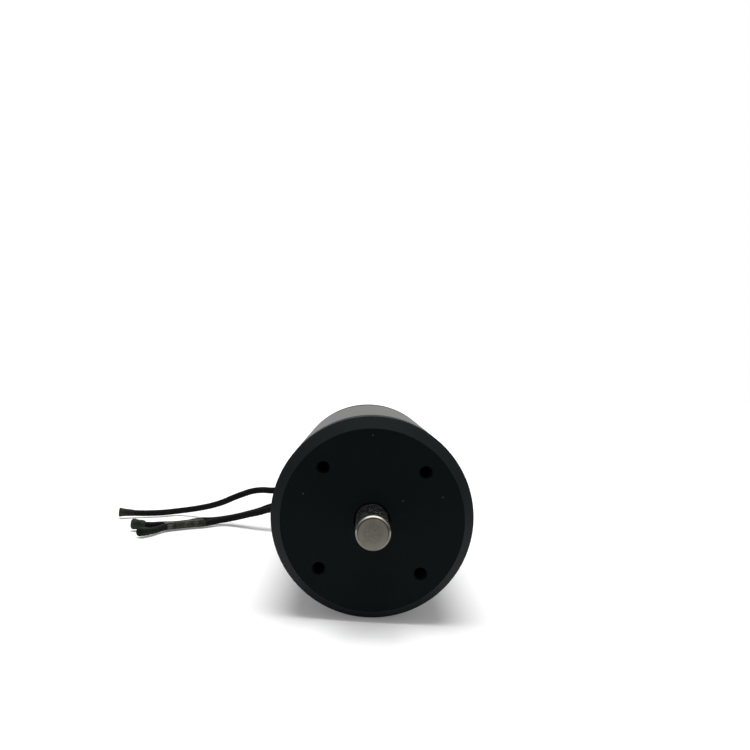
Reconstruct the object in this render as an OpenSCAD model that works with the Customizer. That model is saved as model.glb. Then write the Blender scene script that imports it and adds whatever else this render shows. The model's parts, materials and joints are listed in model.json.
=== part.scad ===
// Underwater brushless motor: a sealed round housing with an inner rotor, a plain output
// shaft at the front and three free leads at the rear.
// The shaft runs along Y. The mounting face lies at y = 0 and looks towards -Y.

/* [Housing] */
// Outer diameter of the covers and of the tube
housing_d = 63; // [62:0.5:72]
// Wall of the housing tube
tube_wall = 2.5; // [2.2:0.1:3]
// Outside length of the front cover
front_flange_l = 17; // [16:0.5:25]
// Outside length of the rear cover
rear_flange_l = 12; // [11:0.5:20]
// Length of each cover's spigot inside the tube
spigot_l = 7; // [6.5:0.5:10]
// Width of the front chamfer, along the radius
nose_chamfer_w = 3.4; // [1:0.1:4]
// Length of the front chamfer, along the shaft
nose_chamfer_l = 6; // [2:0.5:10]
// Chamfer round the rear face
rear_chamfer = 1; // [0.4:0.1:2]
// Chamfer on both sides of each housing seam
seam_chamfer = 0.25; // [0.1:0.05:0.5]
// Metal left in front of the shaft seal
front_web = 2.5; // [2:0.1:4]
// Metal left behind the rear bearing's pocket
rear_web = 6.8; // [5:0.1:9]
// Wall of each cover's bearing boss
boss_wall = 2.5; // [1.5:0.1:3]

/* [Mounting face] */
// Diameter of the circle through the mounting holes
mount_pcd = 44; // [42:0.5:46]
// Diameter of each mounting hole
mount_hole_d = 4; // [3:0.5:5]
// Depth of each mounting hole
mount_hole_depth = 10; // [6:0.5:12]
// Width of the small countersink at each mounting hole
mount_hole_bevel = 0.25; // [0.1:0.05:0.5]
// Number of mounting holes
mount_hole_count = 4; // [3:1:6]
// Angle of the first mounting hole, from +X towards +Z
mount_hole_angle = 45; // [0:5:90]

/* [Shaft] */
// Diameter of the output shaft
shaft_d = 10; // [9:0.5:11]
// How far the shaft stands out of the mounting face
shaft_reach = 22; // [15:0.5:40]
// Chamfer at the tip of the shaft
shaft_tip_chamfer = 0.45; // [0.2:0.05:1]
// Step from the shaft up to the rotor's seat, along the radius
rotor_seat_step = 1; // [0.6:0.1:1.5]
// Step from the shaft up to the front bearing's collar, along the radius
collar_step = 1.6; // [1.2:0.1:1.9]
// Length of the front bearing's collar
collar_l = 3; // [1:0.5:5]
// Length of the shaft's end behind the rear bearing
shaft_stub_l = 2.5; // [1.5:0.1:3]

/* [Rotor] */
// Thickness of the magnets
magnet_t = 3; // [2:0.1:3.5]
// Number of magnets
pole_count = 4; // [4:2:8]
// Gap between neighbouring magnets
magnet_gap = 1.2; // [0.4:0.1:3]
// Wall of the sleeve over the magnets
rotor_sleeve_t = 0.6; // [0.3:0.05:0.8]
// How far the rotor stands past each end of the stator stack
rotor_overhang = 1; // [0:0.1:2]
// Thickness of each balance ring
balance_ring_l = 3; // [1.5:0.1:4]

/* [Stator] */
// Length of the laminated stack
stack_l = 56; // [30:1:120]
// Room between the stack and each cover's spigot
end_room = 13; // [12:0.5:20]
// Bore of the stator, as a share of the bore of the housing tube
stator_bore_share = 0.53; // [0.5:0.005:0.56]
// Gap between the rotor and the stator
air_gap = 0.8; // [0.4:0.05:1]
// Number of slots
slot_count = 12; // [12:12:12]
// Width of each tooth
tooth_w = 4; // [3:0.1:4.2]
// Width of each slot's mouth
slot_mouth = 2.2; // [1.5:0.1:3]
// Thickness of the teeth's tips
tooth_tip_t = 1.3; // [1:0.1:1.5]
// Thickness of the ring behind the slots
yoke_t = 4.5; // [4:0.1:5]
// Thickness of each end insulator
insulator_t = 1.5; // [1:0.1:2]
// Gap between neighbouring coils
coil_gap = 0.3; // [0.2:0.05:1]

/* [Bearings] */
// Outer diameter of the front bearing
front_bearing_d = 26; // [25:0.5:27]
// Width of the front bearing
front_bearing_w = 8; // [7.5:0.5:9]
// Ball diameter in the front bearing
front_ball_d = 4.76; // [4.2:0.01:5]
// Number of balls in the front bearing
front_ball_count = 8; // [6:1:9]
// Bore of the rear bearing
rear_bearing_bore = 8; // [7.5:0.5:8.5]
// Outer diameter of the rear bearing
rear_bearing_d = 22; // [21:0.5:23]
// Width of the rear bearing
rear_bearing_w = 7; // [6.5:0.5:8]
// Ball diameter in the rear bearing
rear_ball_d = 3.97; // [3.5:0.01:4.1]
// Number of balls in the rear bearing
rear_ball_count = 7; // [6:1:8]
// Thickness of the bearings' shields
shield_t = 0.5; // [0.3:0.05:0.5]
// Space for the wave washer behind the rear bearing
wave_space = 1.2; // [0.9:0.05:1.6]
// Thickness of the wave washer's sheet
wave_sheet_t = 0.3; // [0.2:0.05:0.4]

/* [Seals] */
// Outer diameter of the shaft seal
seal_d = 22; // [20:0.5:23]
// Width of the shaft seal
seal_w = 7; // [6:0.5:8]
// Wire diameter of the seal's spring
seal_spring_d = 1.2; // [0.8:0.1:1.4]
// Thickness of the ring that holds the seal
circlip_t = 1; // [0.8:0.1:1.2]
// Depth of the sealing ring grooves on the spigots
oring_depth = 1.4; // [1.2:0.1:1.5]
// Width of the sealing ring grooves
oring_groove_w = 2.2; // [2:0.1:2.6]
// Distance from each seam to its sealing ring groove
oring_offset = 2; // [1.5:0.1:2.5]

/* [Fasteners] */
// Thread diameter of the through bolts
bolt_d = 3; // [2.5:0.1:3.2]
// Head diameter of the through bolts
bolt_head_d = 5.5; // [5:0.1:5.8]
// Head height of the through bolts
bolt_head_h = 3; // [2:0.1:3.2]
// Size across the flats of the bolts' sockets
bolt_socket_w = 2.5; // [2:0.1:2.8]
// Depth of the bolts' sockets
bolt_socket_depth = 1.6; // [1:0.1:1.8]
// Length of the bolts' thread in the front cover
bolt_grip = 10; // [6:0.5:11]
// Thickness of the sealing washer under each bolt's head
bolt_seal_t = 0.8; // [0.5:0.1:1]

/* [Leads] */
// Diameter of each lead
lead_d = 3; // [2.4:0.1:3.1]
// Metal left round the leads behind their resin
lead_wall = 6.5; // [5:0.1:8]
// Length of each lead inside the rear face
lead_inner_l = 19; // [17:0.5:20]
// Angle of the first lead, from +X towards +Z
lead_angle = 195; // [190:1:200]
// Angle from one lead to the next
lead_pitch_angle = 30; // [28:1:35]
// Length of each lead's rubber sleeve outside the rear cover
grommet_reach = 6; // [4:0.5:6]
// Thickness of the tape round two of the leads
tape_t = 0.15; // [0.1:0.05:0.4]

/* [Hidden] */
$fn = 96;

// How far every cut runs past the face that it opens
overrun = 0.5;
// Radial gap between the shaft and the front cover
shaft_gap = 0.6;
// Running gap of the seal's lip on the shaft
lip_gap = 0.03;
// Running gap of the balls in their races and pockets
ball_gap = 0.04;
// Play between loosely fitted pieces
play = 0.3;
// Slide fit of the tape over the leads
snug = 0.05;

// Housing
housing_r = housing_d / 2;
tube_bore_r = housing_r - tube_wall;
face_r = housing_r - nose_chamfer_w;
front_cover_l = front_flange_l + spigot_l;
stack_y = front_cover_l + end_room;
stack_end_y = stack_y + stack_l;
rear_cover_y = stack_end_y + end_room;
rear_flange_y = rear_cover_y + spigot_l;
housing_l = rear_flange_y + rear_flange_l;
oring_groove_r = tube_bore_r - oring_depth;

// Through bolts: as far out as the sealing ring grooves allow
bolt_r = bolt_d / 2;
bolt_hole_r = bolt_r + play / 3;
groove_land = 0.4;
bolt_circle_r = oring_groove_r - groove_land - bolt_hole_r;
bolt_count = 4;
bolt_notch_r = bolt_r + play;
counterbore_r = bolt_head_d / 2 + play;
head_recess = 0.4;
bolt_seat_y = housing_l - head_recess - bolt_head_h - bolt_seal_t;
bolt_head_y = bolt_seat_y + bolt_seal_t;
bolt_tip_y = front_cover_l - bolt_grip;
spigot_ring_r = bolt_circle_r - bolt_hole_r - 4 * groove_land;

// Front cover, seal and bearing stations along the shaft
shaft_r = shaft_d / 2;
seal_r = seal_d / 2;
seal_end_y = front_web + seal_w;
circlip_end_y = seal_end_y + circlip_t;
circlip_depth = 0.7;
circlip_height = 1.6;
circlip_land = 0.5;
front_bearing_y = circlip_end_y + circlip_land;
front_bearing_end_y = front_bearing_y + front_bearing_w;
front_bearing_r = front_bearing_d / 2;

// Rear cover and bearing stations along the shaft
rear_bearing_r = rear_bearing_d / 2;
rear_journal_r = rear_bearing_bore / 2;
rear_pocket_y = housing_l - rear_web;
rear_bearing_end_y = rear_pocket_y - wave_space;
rear_bearing_y = rear_bearing_end_y - rear_bearing_w;
rear_boss_r = rear_bearing_r + boss_wall;
front_boss_r = front_bearing_r + boss_wall;
shaft_end_y = rear_bearing_end_y + shaft_stub_l;
stub_room = 1;
shaft_clip_t = 0.8;
shaft_clip_depth = 0.25;
shaft_clip_height = 1.5;
stub_relief_r = rear_journal_r + shaft_clip_height + stub_room;

// Shares of the ball's diameter that set the races' lands and the cage
race_land_share = 0.42;
cage_half_share = 0.25;
cage_rim = 0.4;
shield_inset = 0.3;

// Rotor
rotor_seat_r = shaft_r + rotor_seat_step;
collar_r = shaft_r + collar_step;
stator_bore_r = stator_bore_share * tube_bore_r;
rotor_r = stator_bore_r - air_gap;
magnet_r = rotor_r - rotor_sleeve_t;
rotor_core_r = magnet_r - magnet_t;
rotor_y = stack_y - rotor_overhang;
rotor_l = stack_l + 2 * rotor_overhang;
rotor_seat_end_y = rotor_y + rotor_l + balance_ring_l;
core_hole_count = 6;
core_hole_share = 0.28;
core_hole_r = core_hole_share * (rotor_core_r - rotor_seat_r);
core_hole_circle_r = (rotor_seat_r + rotor_core_r) / 2;
balance_hole_r = 0.9;
balance_hole_depth = 1.2;
balance_hole_angles = [20, 55, 200];

// Shaft: a small grinding relief where it leaves the cover
relief_l = 1.2;
relief_lead = 0.8;
relief_depth = 0.2;

// Stator
slot_in_r = stator_bore_r + tooth_tip_t;
slot_out_r = tube_bore_r - yoke_t;
slot_angle = 360 / slot_count;
coil_in_r = slot_in_r + play;
coil_out_r = bolt_circle_r - bolt_notch_r - play;
coil_half_w = tooth_w / 2 + play;
coil_t = coil_in_r * tan(slot_angle / 2) - coil_half_w - coil_gap / 2;
coil_half_l = stack_l / 2 + insulator_t;
phase_count = 3;

// Shaft seal's outline: shares of its radial height from the shaft and of its width
seal_outline_shares = [
  [1, 0], [1, 1], [0.2, 1], [0.2, 0.85], [0.1, 0.6], [0, 0.4], [0.1, 0.14],
  [0.45, 0.14], [0.45, 0.24], [0.28, 0.24], [0.28, 0.56], [0.36, 0.74], [0.74, 0.74], [0.74, 0]
];
spring_seat_share = 0.28;
spring_place_share = 0.4;

// Wave washer
wave_count = 3;
wave_steps = 60;
washer_out_r = rear_bearing_r - play / 2;
washer_w = 1.6;

// Leads
lead_r = lead_d / 2;
lead_sides = 8;
lead_circle_r = (rear_boss_r + bolt_circle_r - bolt_hole_r) / 2;
lead_angles = [for (i = [0 : 2]) lead_angle + i * lead_pitch_angle];
resin_floor_y = housing_l - lead_wall;
resin_rise = 1;
resin_half_w = 3.2;
resin_end_angle = 14;
grommet_t = 0.9;
grommet_flange_w = 1.1;
grommet_flange_t = 1.4;
grommet_nose_t = 0.5;
splice_wall = 0.6;
splice_lap = 2.5;

// Stretch of each lead that runs straight through the rear cover, from the rear face
straight_stations = [-lead_inner_l, -lead_inner_l / 2, 0, grommet_reach];

// Free routes of the leads, as [x, distance behind the rear face, z]
route_a = [
  [-19.3, 12.5, -5], [-22.6, 18.6, -5.9], [-27.6, 23.4, -7.8], [-33.4, 26.6, -10],
  [-39.3, 28.9, -11.9], [-44.6, 30.6, -12.9], [-49.8, 32.6, -13.2],
  [-54.6, 34.6, -14.2], [-59.5, 37, -16.2], [-64.6, 40.2, -18.7], [-70, 44, -21.6],
  [-75.7, 48, -24.1], [-81.8, 52, -26.2], [-88.5, 55, -28], [-95.2, 55.2, -29.2],
  [-100.8, 49.8, -29.4], [-106.2, 45.9, -29.4], [-111.9, 42.6, -29.2],
  [-117.4, 39, -28.6]
];
route_b = [
  [-14.2, 12, -13.3], [-17.4, 17.6, -13.8], [-22.6, 22, -14.7], [-29, 24.8, -15.9],
  [-36.7, 26.6, -17.7], [-45.5, 28.9, -20.6], [-50.5, 30.5, -22.9],
  [-56.3, 32.7, -25.1], [-62.3, 35.2, -27.2], [-68, 36.4, -28.7], [-72.8, 33.8, -29.2],
  [-77.9, 26.8, -28.6], [-83.3, 21.6, -29.1], [-88.5, 16.4, -29.2],
  [-93.4, 10.7, -28.7], [-98.2, 8.3, -28.8], [-104, 6.2, -28.3]
];
route_c = [
  [-5.8, 12, -18.2], [-9.4, 17, -18.7], [-15.2, 20, -19.3], [-22.2, 21.8, -19.9],
  [-29.7, 23.2, -20.5], [-37.4, 24.5, -21.1], [-45.1, 25.6, -21.4],
  [-50.1, 26.8, -23.1], [-55.9, 28.9, -24.9], [-61.7, 31.6, -26.9],
  [-67.2, 32.7, -28.4], [-71.4, 30, -29], [-75.9, 24, -29.3], [-81.1, 19.4, -29.3],
  [-86.3, 14.2, -29.3], [-91, 8.7, -29.3], [-93.6, 2.2, -29.5], [-95.5, -4.4, -29.3],
  [-97.8, -8.3, -29]
];
// The taped stretch: first point on each route and number of points
tape_first_b = 11;
tape_first_c = 12;
tape_points = 4;
tape_end_sides = 7;

// Lead tips
tip_grip = 4;
tip_b_wall = 0.9;
tip_b_l = 6.5;
tip_c_wall = 0.5;
tip_c_l = 6.5;
tip_a_l = 7;
tip_a_wall = 0.3;
tip_a_flare = 0.45;
// Closed tip's outline: shares of its length and of its outer radius
tip_round_shares = [[0, 0.86], [0.06, 1], [0.78, 1], [0.92, 0.8], [1, 0.4]];

black = "#17191a";
satin_black = "#2b2c2b";
steel = "#8f8f8c";
copper = "#b3693a";
rubber = "#101112";

// Stands a child at a radius and an angle round the shaft, from +X towards +Z
module around(radius, angle) {
  rotate([0, -angle, 0])
    translate([radius, 0, 0])
      children();
}

// Turns a child that is built along Z to run along +Y, from station y
module along(y) {
  translate([0, y, 0])
    rotate([-90, 0, 0])
      children();
}

// Solid of revolution about the shaft from points of [radius, y]
module turned(points) {
  rotate([-90, 0, 0])
    rotate_extrude()
      polygon(points);
}

// Ring between two radii and two stations
module ring(inner_r, outer_r, y, length) {
  turned([[inner_r, y], [outer_r, y], [outer_r, y + length], [inner_r, y + length]]);
}

// Part of a ring between two angles
module ring_sector(inner_r, outer_r, y, length, from_angle, to_angle) {
  rotate([0, -to_angle, 0])
    rotate([-90, 0, 0])
      rotate_extrude(angle = to_angle - from_angle)
        polygon([[inner_r, y], [outer_r, y], [outer_r, y + length], [inner_r, y + length]]);
}

// Ring of round section about the shaft
module round_ring(centre_r, section_r, y) {
  rotate([-90, 0, 0])
    translate([0, 0, y])
      rotate_extrude()
        translate([centre_r, 0])
          circle(r = section_r);
}

// Children repeated on a circle round the shaft
module repeat_around(count, radius, first_angle = 0) {
  for (i = [0 : count - 1])
    around(radius, first_angle + i * 360 / count)
      children();
}

// Sealing ring groove on a spigot, as a closed run of profile points from y0 to y1
function groove_points(y0, y1) = [
  [tube_bore_r, y0], [oring_groove_r, y0], [oring_groove_r, y1], [tube_bore_r, y1]
];

// Front cover: mounting face, shaft bore, seal pocket, bearing pocket and spigot
module front_cover() {
  groove_y = front_flange_l + oring_offset;
  clip_r = seal_r + circlip_depth;
  profile = concat(
    [
      [shaft_r + shaft_gap, 0], [face_r, 0], [housing_r, nose_chamfer_l],
      [housing_r, front_flange_l - seam_chamfer], [housing_r - seam_chamfer, front_flange_l],
      [tube_bore_r, front_flange_l]
    ],
    groove_points(groove_y, groove_y + oring_groove_w),
    [
      [tube_bore_r, front_cover_l], [spigot_ring_r, front_cover_l],
      [spigot_ring_r, front_flange_l], [front_boss_r, front_flange_l],
      [front_boss_r, front_cover_l], [front_bearing_r, front_cover_l],
      [front_bearing_r, front_bearing_y], [seal_r, front_bearing_y],
      [seal_r, circlip_end_y], [clip_r, circlip_end_y], [clip_r, seal_end_y],
      [seal_r, seal_end_y], [seal_r, front_web], [shaft_r + shaft_gap, front_web]
    ]
  );
  color(black)
    difference() {
      turned(profile);
      repeat_around(mount_hole_count, mount_pcd / 2, mount_hole_angle)
        mounting_hole();
      repeat_around(bolt_count, bolt_circle_r)
        along(bolt_tip_y - play)
          cylinder(r = bolt_r, h = bolt_grip + play + overrun);
    }
}

// One blind mounting hole with its small countersink
module mounting_hole() {
  hole_r = mount_hole_d / 2;
  turned([
    [0, -overrun], [hole_r + mount_hole_bevel, -overrun], [hole_r + mount_hole_bevel, 0],
    [hole_r, mount_hole_bevel], [hole_r, mount_hole_depth], [0, mount_hole_depth]
  ]);
}

// Housing tube between the two covers
module housing_tube() {
  color(satin_black)
    turned([
      [tube_bore_r, front_flange_l], [housing_r - seam_chamfer, front_flange_l],
      [housing_r, front_flange_l + seam_chamfer], [housing_r, rear_flange_y - seam_chamfer],
      [housing_r - seam_chamfer, rear_flange_y], [tube_bore_r, rear_flange_y]
    ]);
}

// Rear cover: closed cap with the bearing pocket, bolt counterbores and lead holes
module rear_cover() {
  groove_y = rear_flange_y - oring_offset - oring_groove_w;
  profile = concat(
    [
      [0, shaft_end_y + stub_room], [stub_relief_r, shaft_end_y + stub_room],
      [stub_relief_r, rear_pocket_y], [rear_bearing_r, rear_pocket_y],
      [rear_bearing_r, rear_cover_y], [rear_boss_r, rear_cover_y],
      [rear_boss_r, rear_flange_y], [spigot_ring_r, rear_flange_y],
      [spigot_ring_r, rear_cover_y], [tube_bore_r, rear_cover_y]
    ],
    groove_points(groove_y, groove_y + oring_groove_w),
    [
      [tube_bore_r, rear_flange_y], [housing_r - seam_chamfer, rear_flange_y],
      [housing_r, rear_flange_y + seam_chamfer], [housing_r, housing_l - rear_chamfer],
      [housing_r - rear_chamfer, housing_l], [0, housing_l]
    ]
  );
  color(black)
    difference() {
      turned(profile);
      repeat_around(bolt_count, bolt_circle_r) {
        along(rear_cover_y - overrun)
          cylinder(r = bolt_hole_r, h = housing_l - rear_cover_y);
        along(bolt_seat_y)
          cylinder(r = counterbore_r, h = housing_l - bolt_seat_y + overrun);
      }
      resin_block(rear_flange_y - overrun);
      for (angle = lead_angles)
        around(lead_circle_r, angle)
          along(resin_floor_y - overrun)
            cylinder(r = lead_r + grommet_t, h = lead_wall + 2 * overrun);
    }
}

// Sealing rings squeezed between the spigots' grooves and the tube
module sealing_ring(groove_y) {
  section_r = oring_depth / 2;
  color(rubber)
    round_ring(tube_bore_r - section_r, section_r, groove_y + oring_groove_w / 2);
}

module front_sealing_ring() {
  sealing_ring(front_flange_l + oring_offset);
}

module rear_sealing_ring() {
  sealing_ring(rear_flange_y - oring_offset - oring_groove_w);
}

// Lip seal on the shaft, behind the front web
module shaft_seal() {
  lip_r = shaft_r + lip_gap;
  height = seal_r - lip_r;
  color(rubber)
    turned([for (s = seal_outline_shares) [lip_r + s[0] * height, front_web + s[1] * seal_w]]);
}

// Spring that draws the seal's lip onto the shaft
module seal_spring() {
  lip_r = shaft_r + lip_gap;
  seat_r = lip_r + spring_seat_share * (seal_r - lip_r);
  color(steel)
    round_ring(
      seat_r + seal_spring_d / 2, seal_spring_d / 2, front_web + spring_place_share * seal_w
    );
}

// Spring clip in the front cover that holds the seal
module seal_circlip() {
  lug_r = circlip_height - play;
  lug_hole_r = lug_r / 3;
  lug_angle = 14;
  lug_circle_r = seal_r - lug_r;
  color(steel)
    difference() {
      union() {
        ring(seal_r - circlip_height + play, seal_r + circlip_depth, seal_end_y, circlip_t);
        for (side = [-1, 1])
          around(lug_circle_r, 90 + side * lug_angle)
            along(seal_end_y)
              cylinder(r = lug_r, h = circlip_t);
      }
      for (side = [-1, 1])
        around(lug_circle_r, 90 + side * lug_angle)
          along(seal_end_y - overrun)
            cylinder(r = lug_hole_r, h = circlip_t + 2 * overrun);
      ring_sector(
        seal_r - 2 * circlip_height, seal_r + 2 * circlip_depth, seal_end_y - overrun,
        circlip_t + 2 * overrun, 90 - lug_angle / 2, 90 + lug_angle / 2
      );
    }
}

// Radius of the circle that the ball centres run on
function pitch_r(bore_r, outer_r) = (bore_r + outer_r) / 2;

// Outer or inner race of a ball bearing, with its groove
module race(from_r, to_r, centre_r, ball_d, y, width) {
  color(steel)
    difference() {
      ring(from_r, to_r, y, width);
      round_ring(centre_r, ball_d / 2 + ball_gap, y + width / 2);
    }
}

module outer_race(bore_r, outer_r, ball_d, y, width) {
  centre_r = pitch_r(bore_r, outer_r);
  race(centre_r + race_land_share * ball_d, outer_r, centre_r, ball_d, y, width);
}

module inner_race(bore_r, outer_r, ball_d, y, width) {
  centre_r = pitch_r(bore_r, outer_r);
  race(bore_r, centre_r - race_land_share * ball_d, centre_r, ball_d, y, width);
}

// The two shields of a bearing, held by its outer race
module shields(bore_r, outer_r, ball_d, y, width) {
  centre_r = pitch_r(bore_r, outer_r);
  land = race_land_share * ball_d;
  color(rubber)
    for (place = [y + shield_inset, y + width - shield_inset - shield_t])
      ring(centre_r - land + play / 2, centre_r + land, place, shield_t);
}

// Balls of a bearing
module balls(bore_r, outer_r, ball_d, count, y, width) {
  color(steel)
    repeat_around(count, pitch_r(bore_r, outer_r))
      translate([0, y + width / 2, 0])
        sphere(r = ball_d / 2);
}

// Cage that spaces the balls
module cage(bore_r, outer_r, ball_d, count, y, width) {
  centre_r = pitch_r(bore_r, outer_r);
  half_t = cage_half_share * ball_d;
  half_l = ball_d / 2 + ball_gap + cage_rim;
  color(copper)
    difference() {
      ring(centre_r - half_t, centre_r + half_t, y + width / 2 - half_l, 2 * half_l);
      repeat_around(count, centre_r - half_t - overrun)
        translate([0, y + width / 2, 0])
          rotate([0, 90, 0])
            cylinder(r = ball_d / 2 + ball_gap, h = 2 * (half_t + overrun));
    }
}

module front_outer_race() {
  outer_race(shaft_r, front_bearing_r, front_ball_d, front_bearing_y, front_bearing_w);
}

module front_inner_race() {
  inner_race(shaft_r, front_bearing_r, front_ball_d, front_bearing_y, front_bearing_w);
}

module front_shields() {
  shields(shaft_r, front_bearing_r, front_ball_d, front_bearing_y, front_bearing_w);
}

module front_balls() {
  balls(
    shaft_r, front_bearing_r, front_ball_d, front_ball_count, front_bearing_y, front_bearing_w
  );
}

module front_cage() {
  cage(
    shaft_r, front_bearing_r, front_ball_d, front_ball_count, front_bearing_y, front_bearing_w
  );
}

module rear_outer_race() {
  outer_race(rear_journal_r, rear_bearing_r, rear_ball_d, rear_bearing_y, rear_bearing_w);
}

module rear_inner_race() {
  inner_race(rear_journal_r, rear_bearing_r, rear_ball_d, rear_bearing_y, rear_bearing_w);
}

module rear_shields() {
  shields(rear_journal_r, rear_bearing_r, rear_ball_d, rear_bearing_y, rear_bearing_w);
}

module rear_balls() {
  balls(
    rear_journal_r, rear_bearing_r, rear_ball_d, rear_ball_count, rear_bearing_y, rear_bearing_w
  );
}

module rear_cage() {
  cage(
    rear_journal_r, rear_bearing_r, rear_ball_d, rear_ball_count, rear_bearing_y, rear_bearing_w
  );
}

// Wavy spring washer that takes up the rotor's end play
module wave_washer() {
  rise = (wave_space - wave_sheet_t) / 2 - snug / 2;
  in_r = washer_out_r - washer_w;
  mid_y = rear_bearing_end_y + wave_space / 2;
  corners = [
    [in_r, -wave_sheet_t / 2], [washer_out_r, -wave_sheet_t / 2],
    [washer_out_r, wave_sheet_t / 2], [in_r, wave_sheet_t / 2]
  ];
  n = len(corners);
  points = [
    for (i = [0 : wave_steps - 1])
      let (a = i * 360 / wave_steps, y = mid_y + rise * cos(wave_count * a))
        for (c = corners) [c[0] * cos(a), y + c[1], c[0] * sin(a)]
  ];
  faces = [
    for (i = [0 : wave_steps - 1], k = [0 : n - 1])
      let (next = (i + 1) % wave_steps, m = (k + 1) % n)
      let (a = n * i + k, b = n * i + m, c = n * next + k, d = n * next + m)
        each [[a, c, b], [b, c, d]]
  ];
  color(steel)
    polyhedron(points = points, faces = faces);
}

// Outline of one slot, about its own centre line along +X
module slot_outline() {
  function side_point(along_tooth) = [
    along_tooth * cos(slot_angle / 2) + tooth_w / 2 * sin(slot_angle / 2),
    along_tooth * sin(slot_angle / 2) - tooth_w / 2 * cos(slot_angle / 2)
  ];
  function mirrored(p) = [p[0], -p[1]];
  inner = side_point(slot_in_r);
  outer = side_point(slot_out_r);
  polygon([inner, outer, mirrored(outer), mirrored(inner)]);
  translate([0, -slot_mouth / 2])
    square([slot_in_r, slot_mouth]);
}

// Cross-section of the stator, or of an end insulator with a smaller rim
module stator_outline(rim_r) {
  difference() {
    circle(r = rim_r);
    circle(r = stator_bore_r);
    for (i = [0 : slot_count - 1])
      rotate(slot_angle * (i + 1 / 2))
        slot_outline();
    for (i = [0 : bolt_count - 1])
      rotate(i * 360 / bolt_count)
        translate([bolt_circle_r, 0]) {
          circle(r = bolt_notch_r);
          translate([0, -bolt_notch_r])
            square([rim_r - bolt_circle_r + overrun, 2 * bolt_notch_r]);
        }
  }
}

module stator_core() {
  color(steel)
    along(stack_y)
      linear_extrude(stack_l)
        stator_outline(tube_bore_r);
}

module end_insulator(y) {
  color("#c9c4b2")
    along(y)
      linear_extrude(insulator_t)
        stator_outline(tube_bore_r - play);
}

module front_insulator() {
  end_insulator(stack_y - insulator_t);
}

module rear_insulator() {
  end_insulator(stack_end_y);
}

// Rectangle with round corners, about its centre
module round_rectangle(half_w, half_l, corner_r) {
  square([2 * (half_w - corner_r), 2 * half_l], center = true);
  square([2 * half_w, 2 * (half_l - corner_r)], center = true);
  for (x = [-1, 1], y = [-1, 1])
    translate([x * (half_w - corner_r), y * (half_l - corner_r)])
      circle(r = corner_r);
}

// One coil, wound round the tooth that points along +X
module coil() {
  translate([coil_in_r, stack_y + stack_l / 2, 0])
    rotate([0, 90, 0])
      linear_extrude(coil_out_r - coil_in_r)
        difference() {
          round_rectangle(coil_half_w + coil_t, coil_half_l + coil_t, coil_t);
          square([2 * coil_half_w, 2 * coil_half_l], center = true);
        }
}

// The coils of one phase, on every third tooth
module phase_winding(phase) {
  color(copper)
    for (i = [phase : phase_count : slot_count - 1])
      rotate([0, -i * slot_angle, 0])
        coil();
}

module winding_u() {
  phase_winding(0);
}

module winding_v() {
  phase_winding(1);
}

module winding_w() {
  phase_winding(2);
}

// Long bolts that draw the two covers together, heads at the rear
module through_bolts() {
  socket_r = bolt_socket_w / 2 / cos(30);
  color(steel)
    repeat_around(bolt_count, bolt_circle_r)
      difference() {
        union() {
          along(bolt_tip_y)
            cylinder(r = bolt_r, h = bolt_head_y - bolt_tip_y);
          along(bolt_head_y)
            cylinder(r = bolt_head_d / 2, h = bolt_head_h);
        }
        along(bolt_head_y + bolt_head_h - bolt_socket_depth)
          cylinder(r = socket_r, h = bolt_socket_depth + overrun, $fn = 6);
      }
}

// Sealing washers under the bolts' heads
module bolt_seals() {
  color(rubber)
    repeat_around(bolt_count, bolt_circle_r)
      ring(bolt_r, bolt_head_d / 2, bolt_seat_y, bolt_seal_t);
}

// Resin pocket behind the rear cover's inner face, from station y to its floor
module resin_block(y) {
  ring_sector(
    lead_circle_r - resin_half_w, lead_circle_r + resin_half_w, y, resin_floor_y - y,
    lead_angles[0] - resin_end_angle, lead_angles[2] + resin_end_angle
  );
}

// Resin that seals the leads where they enter the rear cover
module lead_resin() {
  color("#1f2021")
    difference() {
      resin_block(rear_flange_y - resin_rise);
      for (angle = lead_angles)
        around(lead_circle_r, angle)
          along(rear_flange_y - resin_rise - overrun)
            cylinder(r = lead_r, h = rear_flange_l + overrun);
    }
}

// Rubber sleeves that carry the leads out of the rear cover
module lead_grommets() {
  body_r = lead_r + grommet_t;
  flange_r = body_r + grommet_flange_w;
  nose_y = housing_l + grommet_reach;
  color(rubber)
    for (angle = lead_angles)
      around(lead_circle_r, angle)
        turned([
          [lead_r, resin_floor_y], [body_r, resin_floor_y], [body_r, housing_l],
          [flange_r, housing_l], [flange_r, housing_l + grommet_flange_t / 2],
          [flange_r - grommet_flange_t / 2, housing_l + grommet_flange_t],
          [body_r, housing_l + grommet_flange_t], [lead_r + grommet_nose_t, nose_y],
          [lead_r, nose_y]
        ]);
}

// Crimped sleeves that join the coils' ends to the leads
module lead_splices() {
  start_y = stack_end_y + insulator_t + coil_t + play;
  lead_start_y = housing_l - lead_inner_l;
  splice_r = lead_r + splice_wall;
  color(rubber)
    for (angle = lead_angles)
      around(lead_circle_r, angle)
        turned([
          [0, start_y], [splice_r, start_y], [splice_r, lead_start_y + splice_lap],
          [lead_r, lead_start_y + splice_lap], [lead_r, lead_start_y], [0, lead_start_y]
        ]);
}

// Unit vector along v
function unit(v) = v / norm(v);

// Direction of travel at each point of a route
function travel(p) = [
  for (i = [0 : len(p) - 1]) unit(p[min(i + 1, len(p) - 1)] - p[max(i - 1, 0)])
];

// Side vector at each point, carried along a route from the side before it
function carried(directions, side, i = 0) =
  i >= len(directions) ? [] :
  let (s = unit(side - (side * directions[i]) * directions[i]))
  concat([s], carried(directions, s, i + 1));

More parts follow.
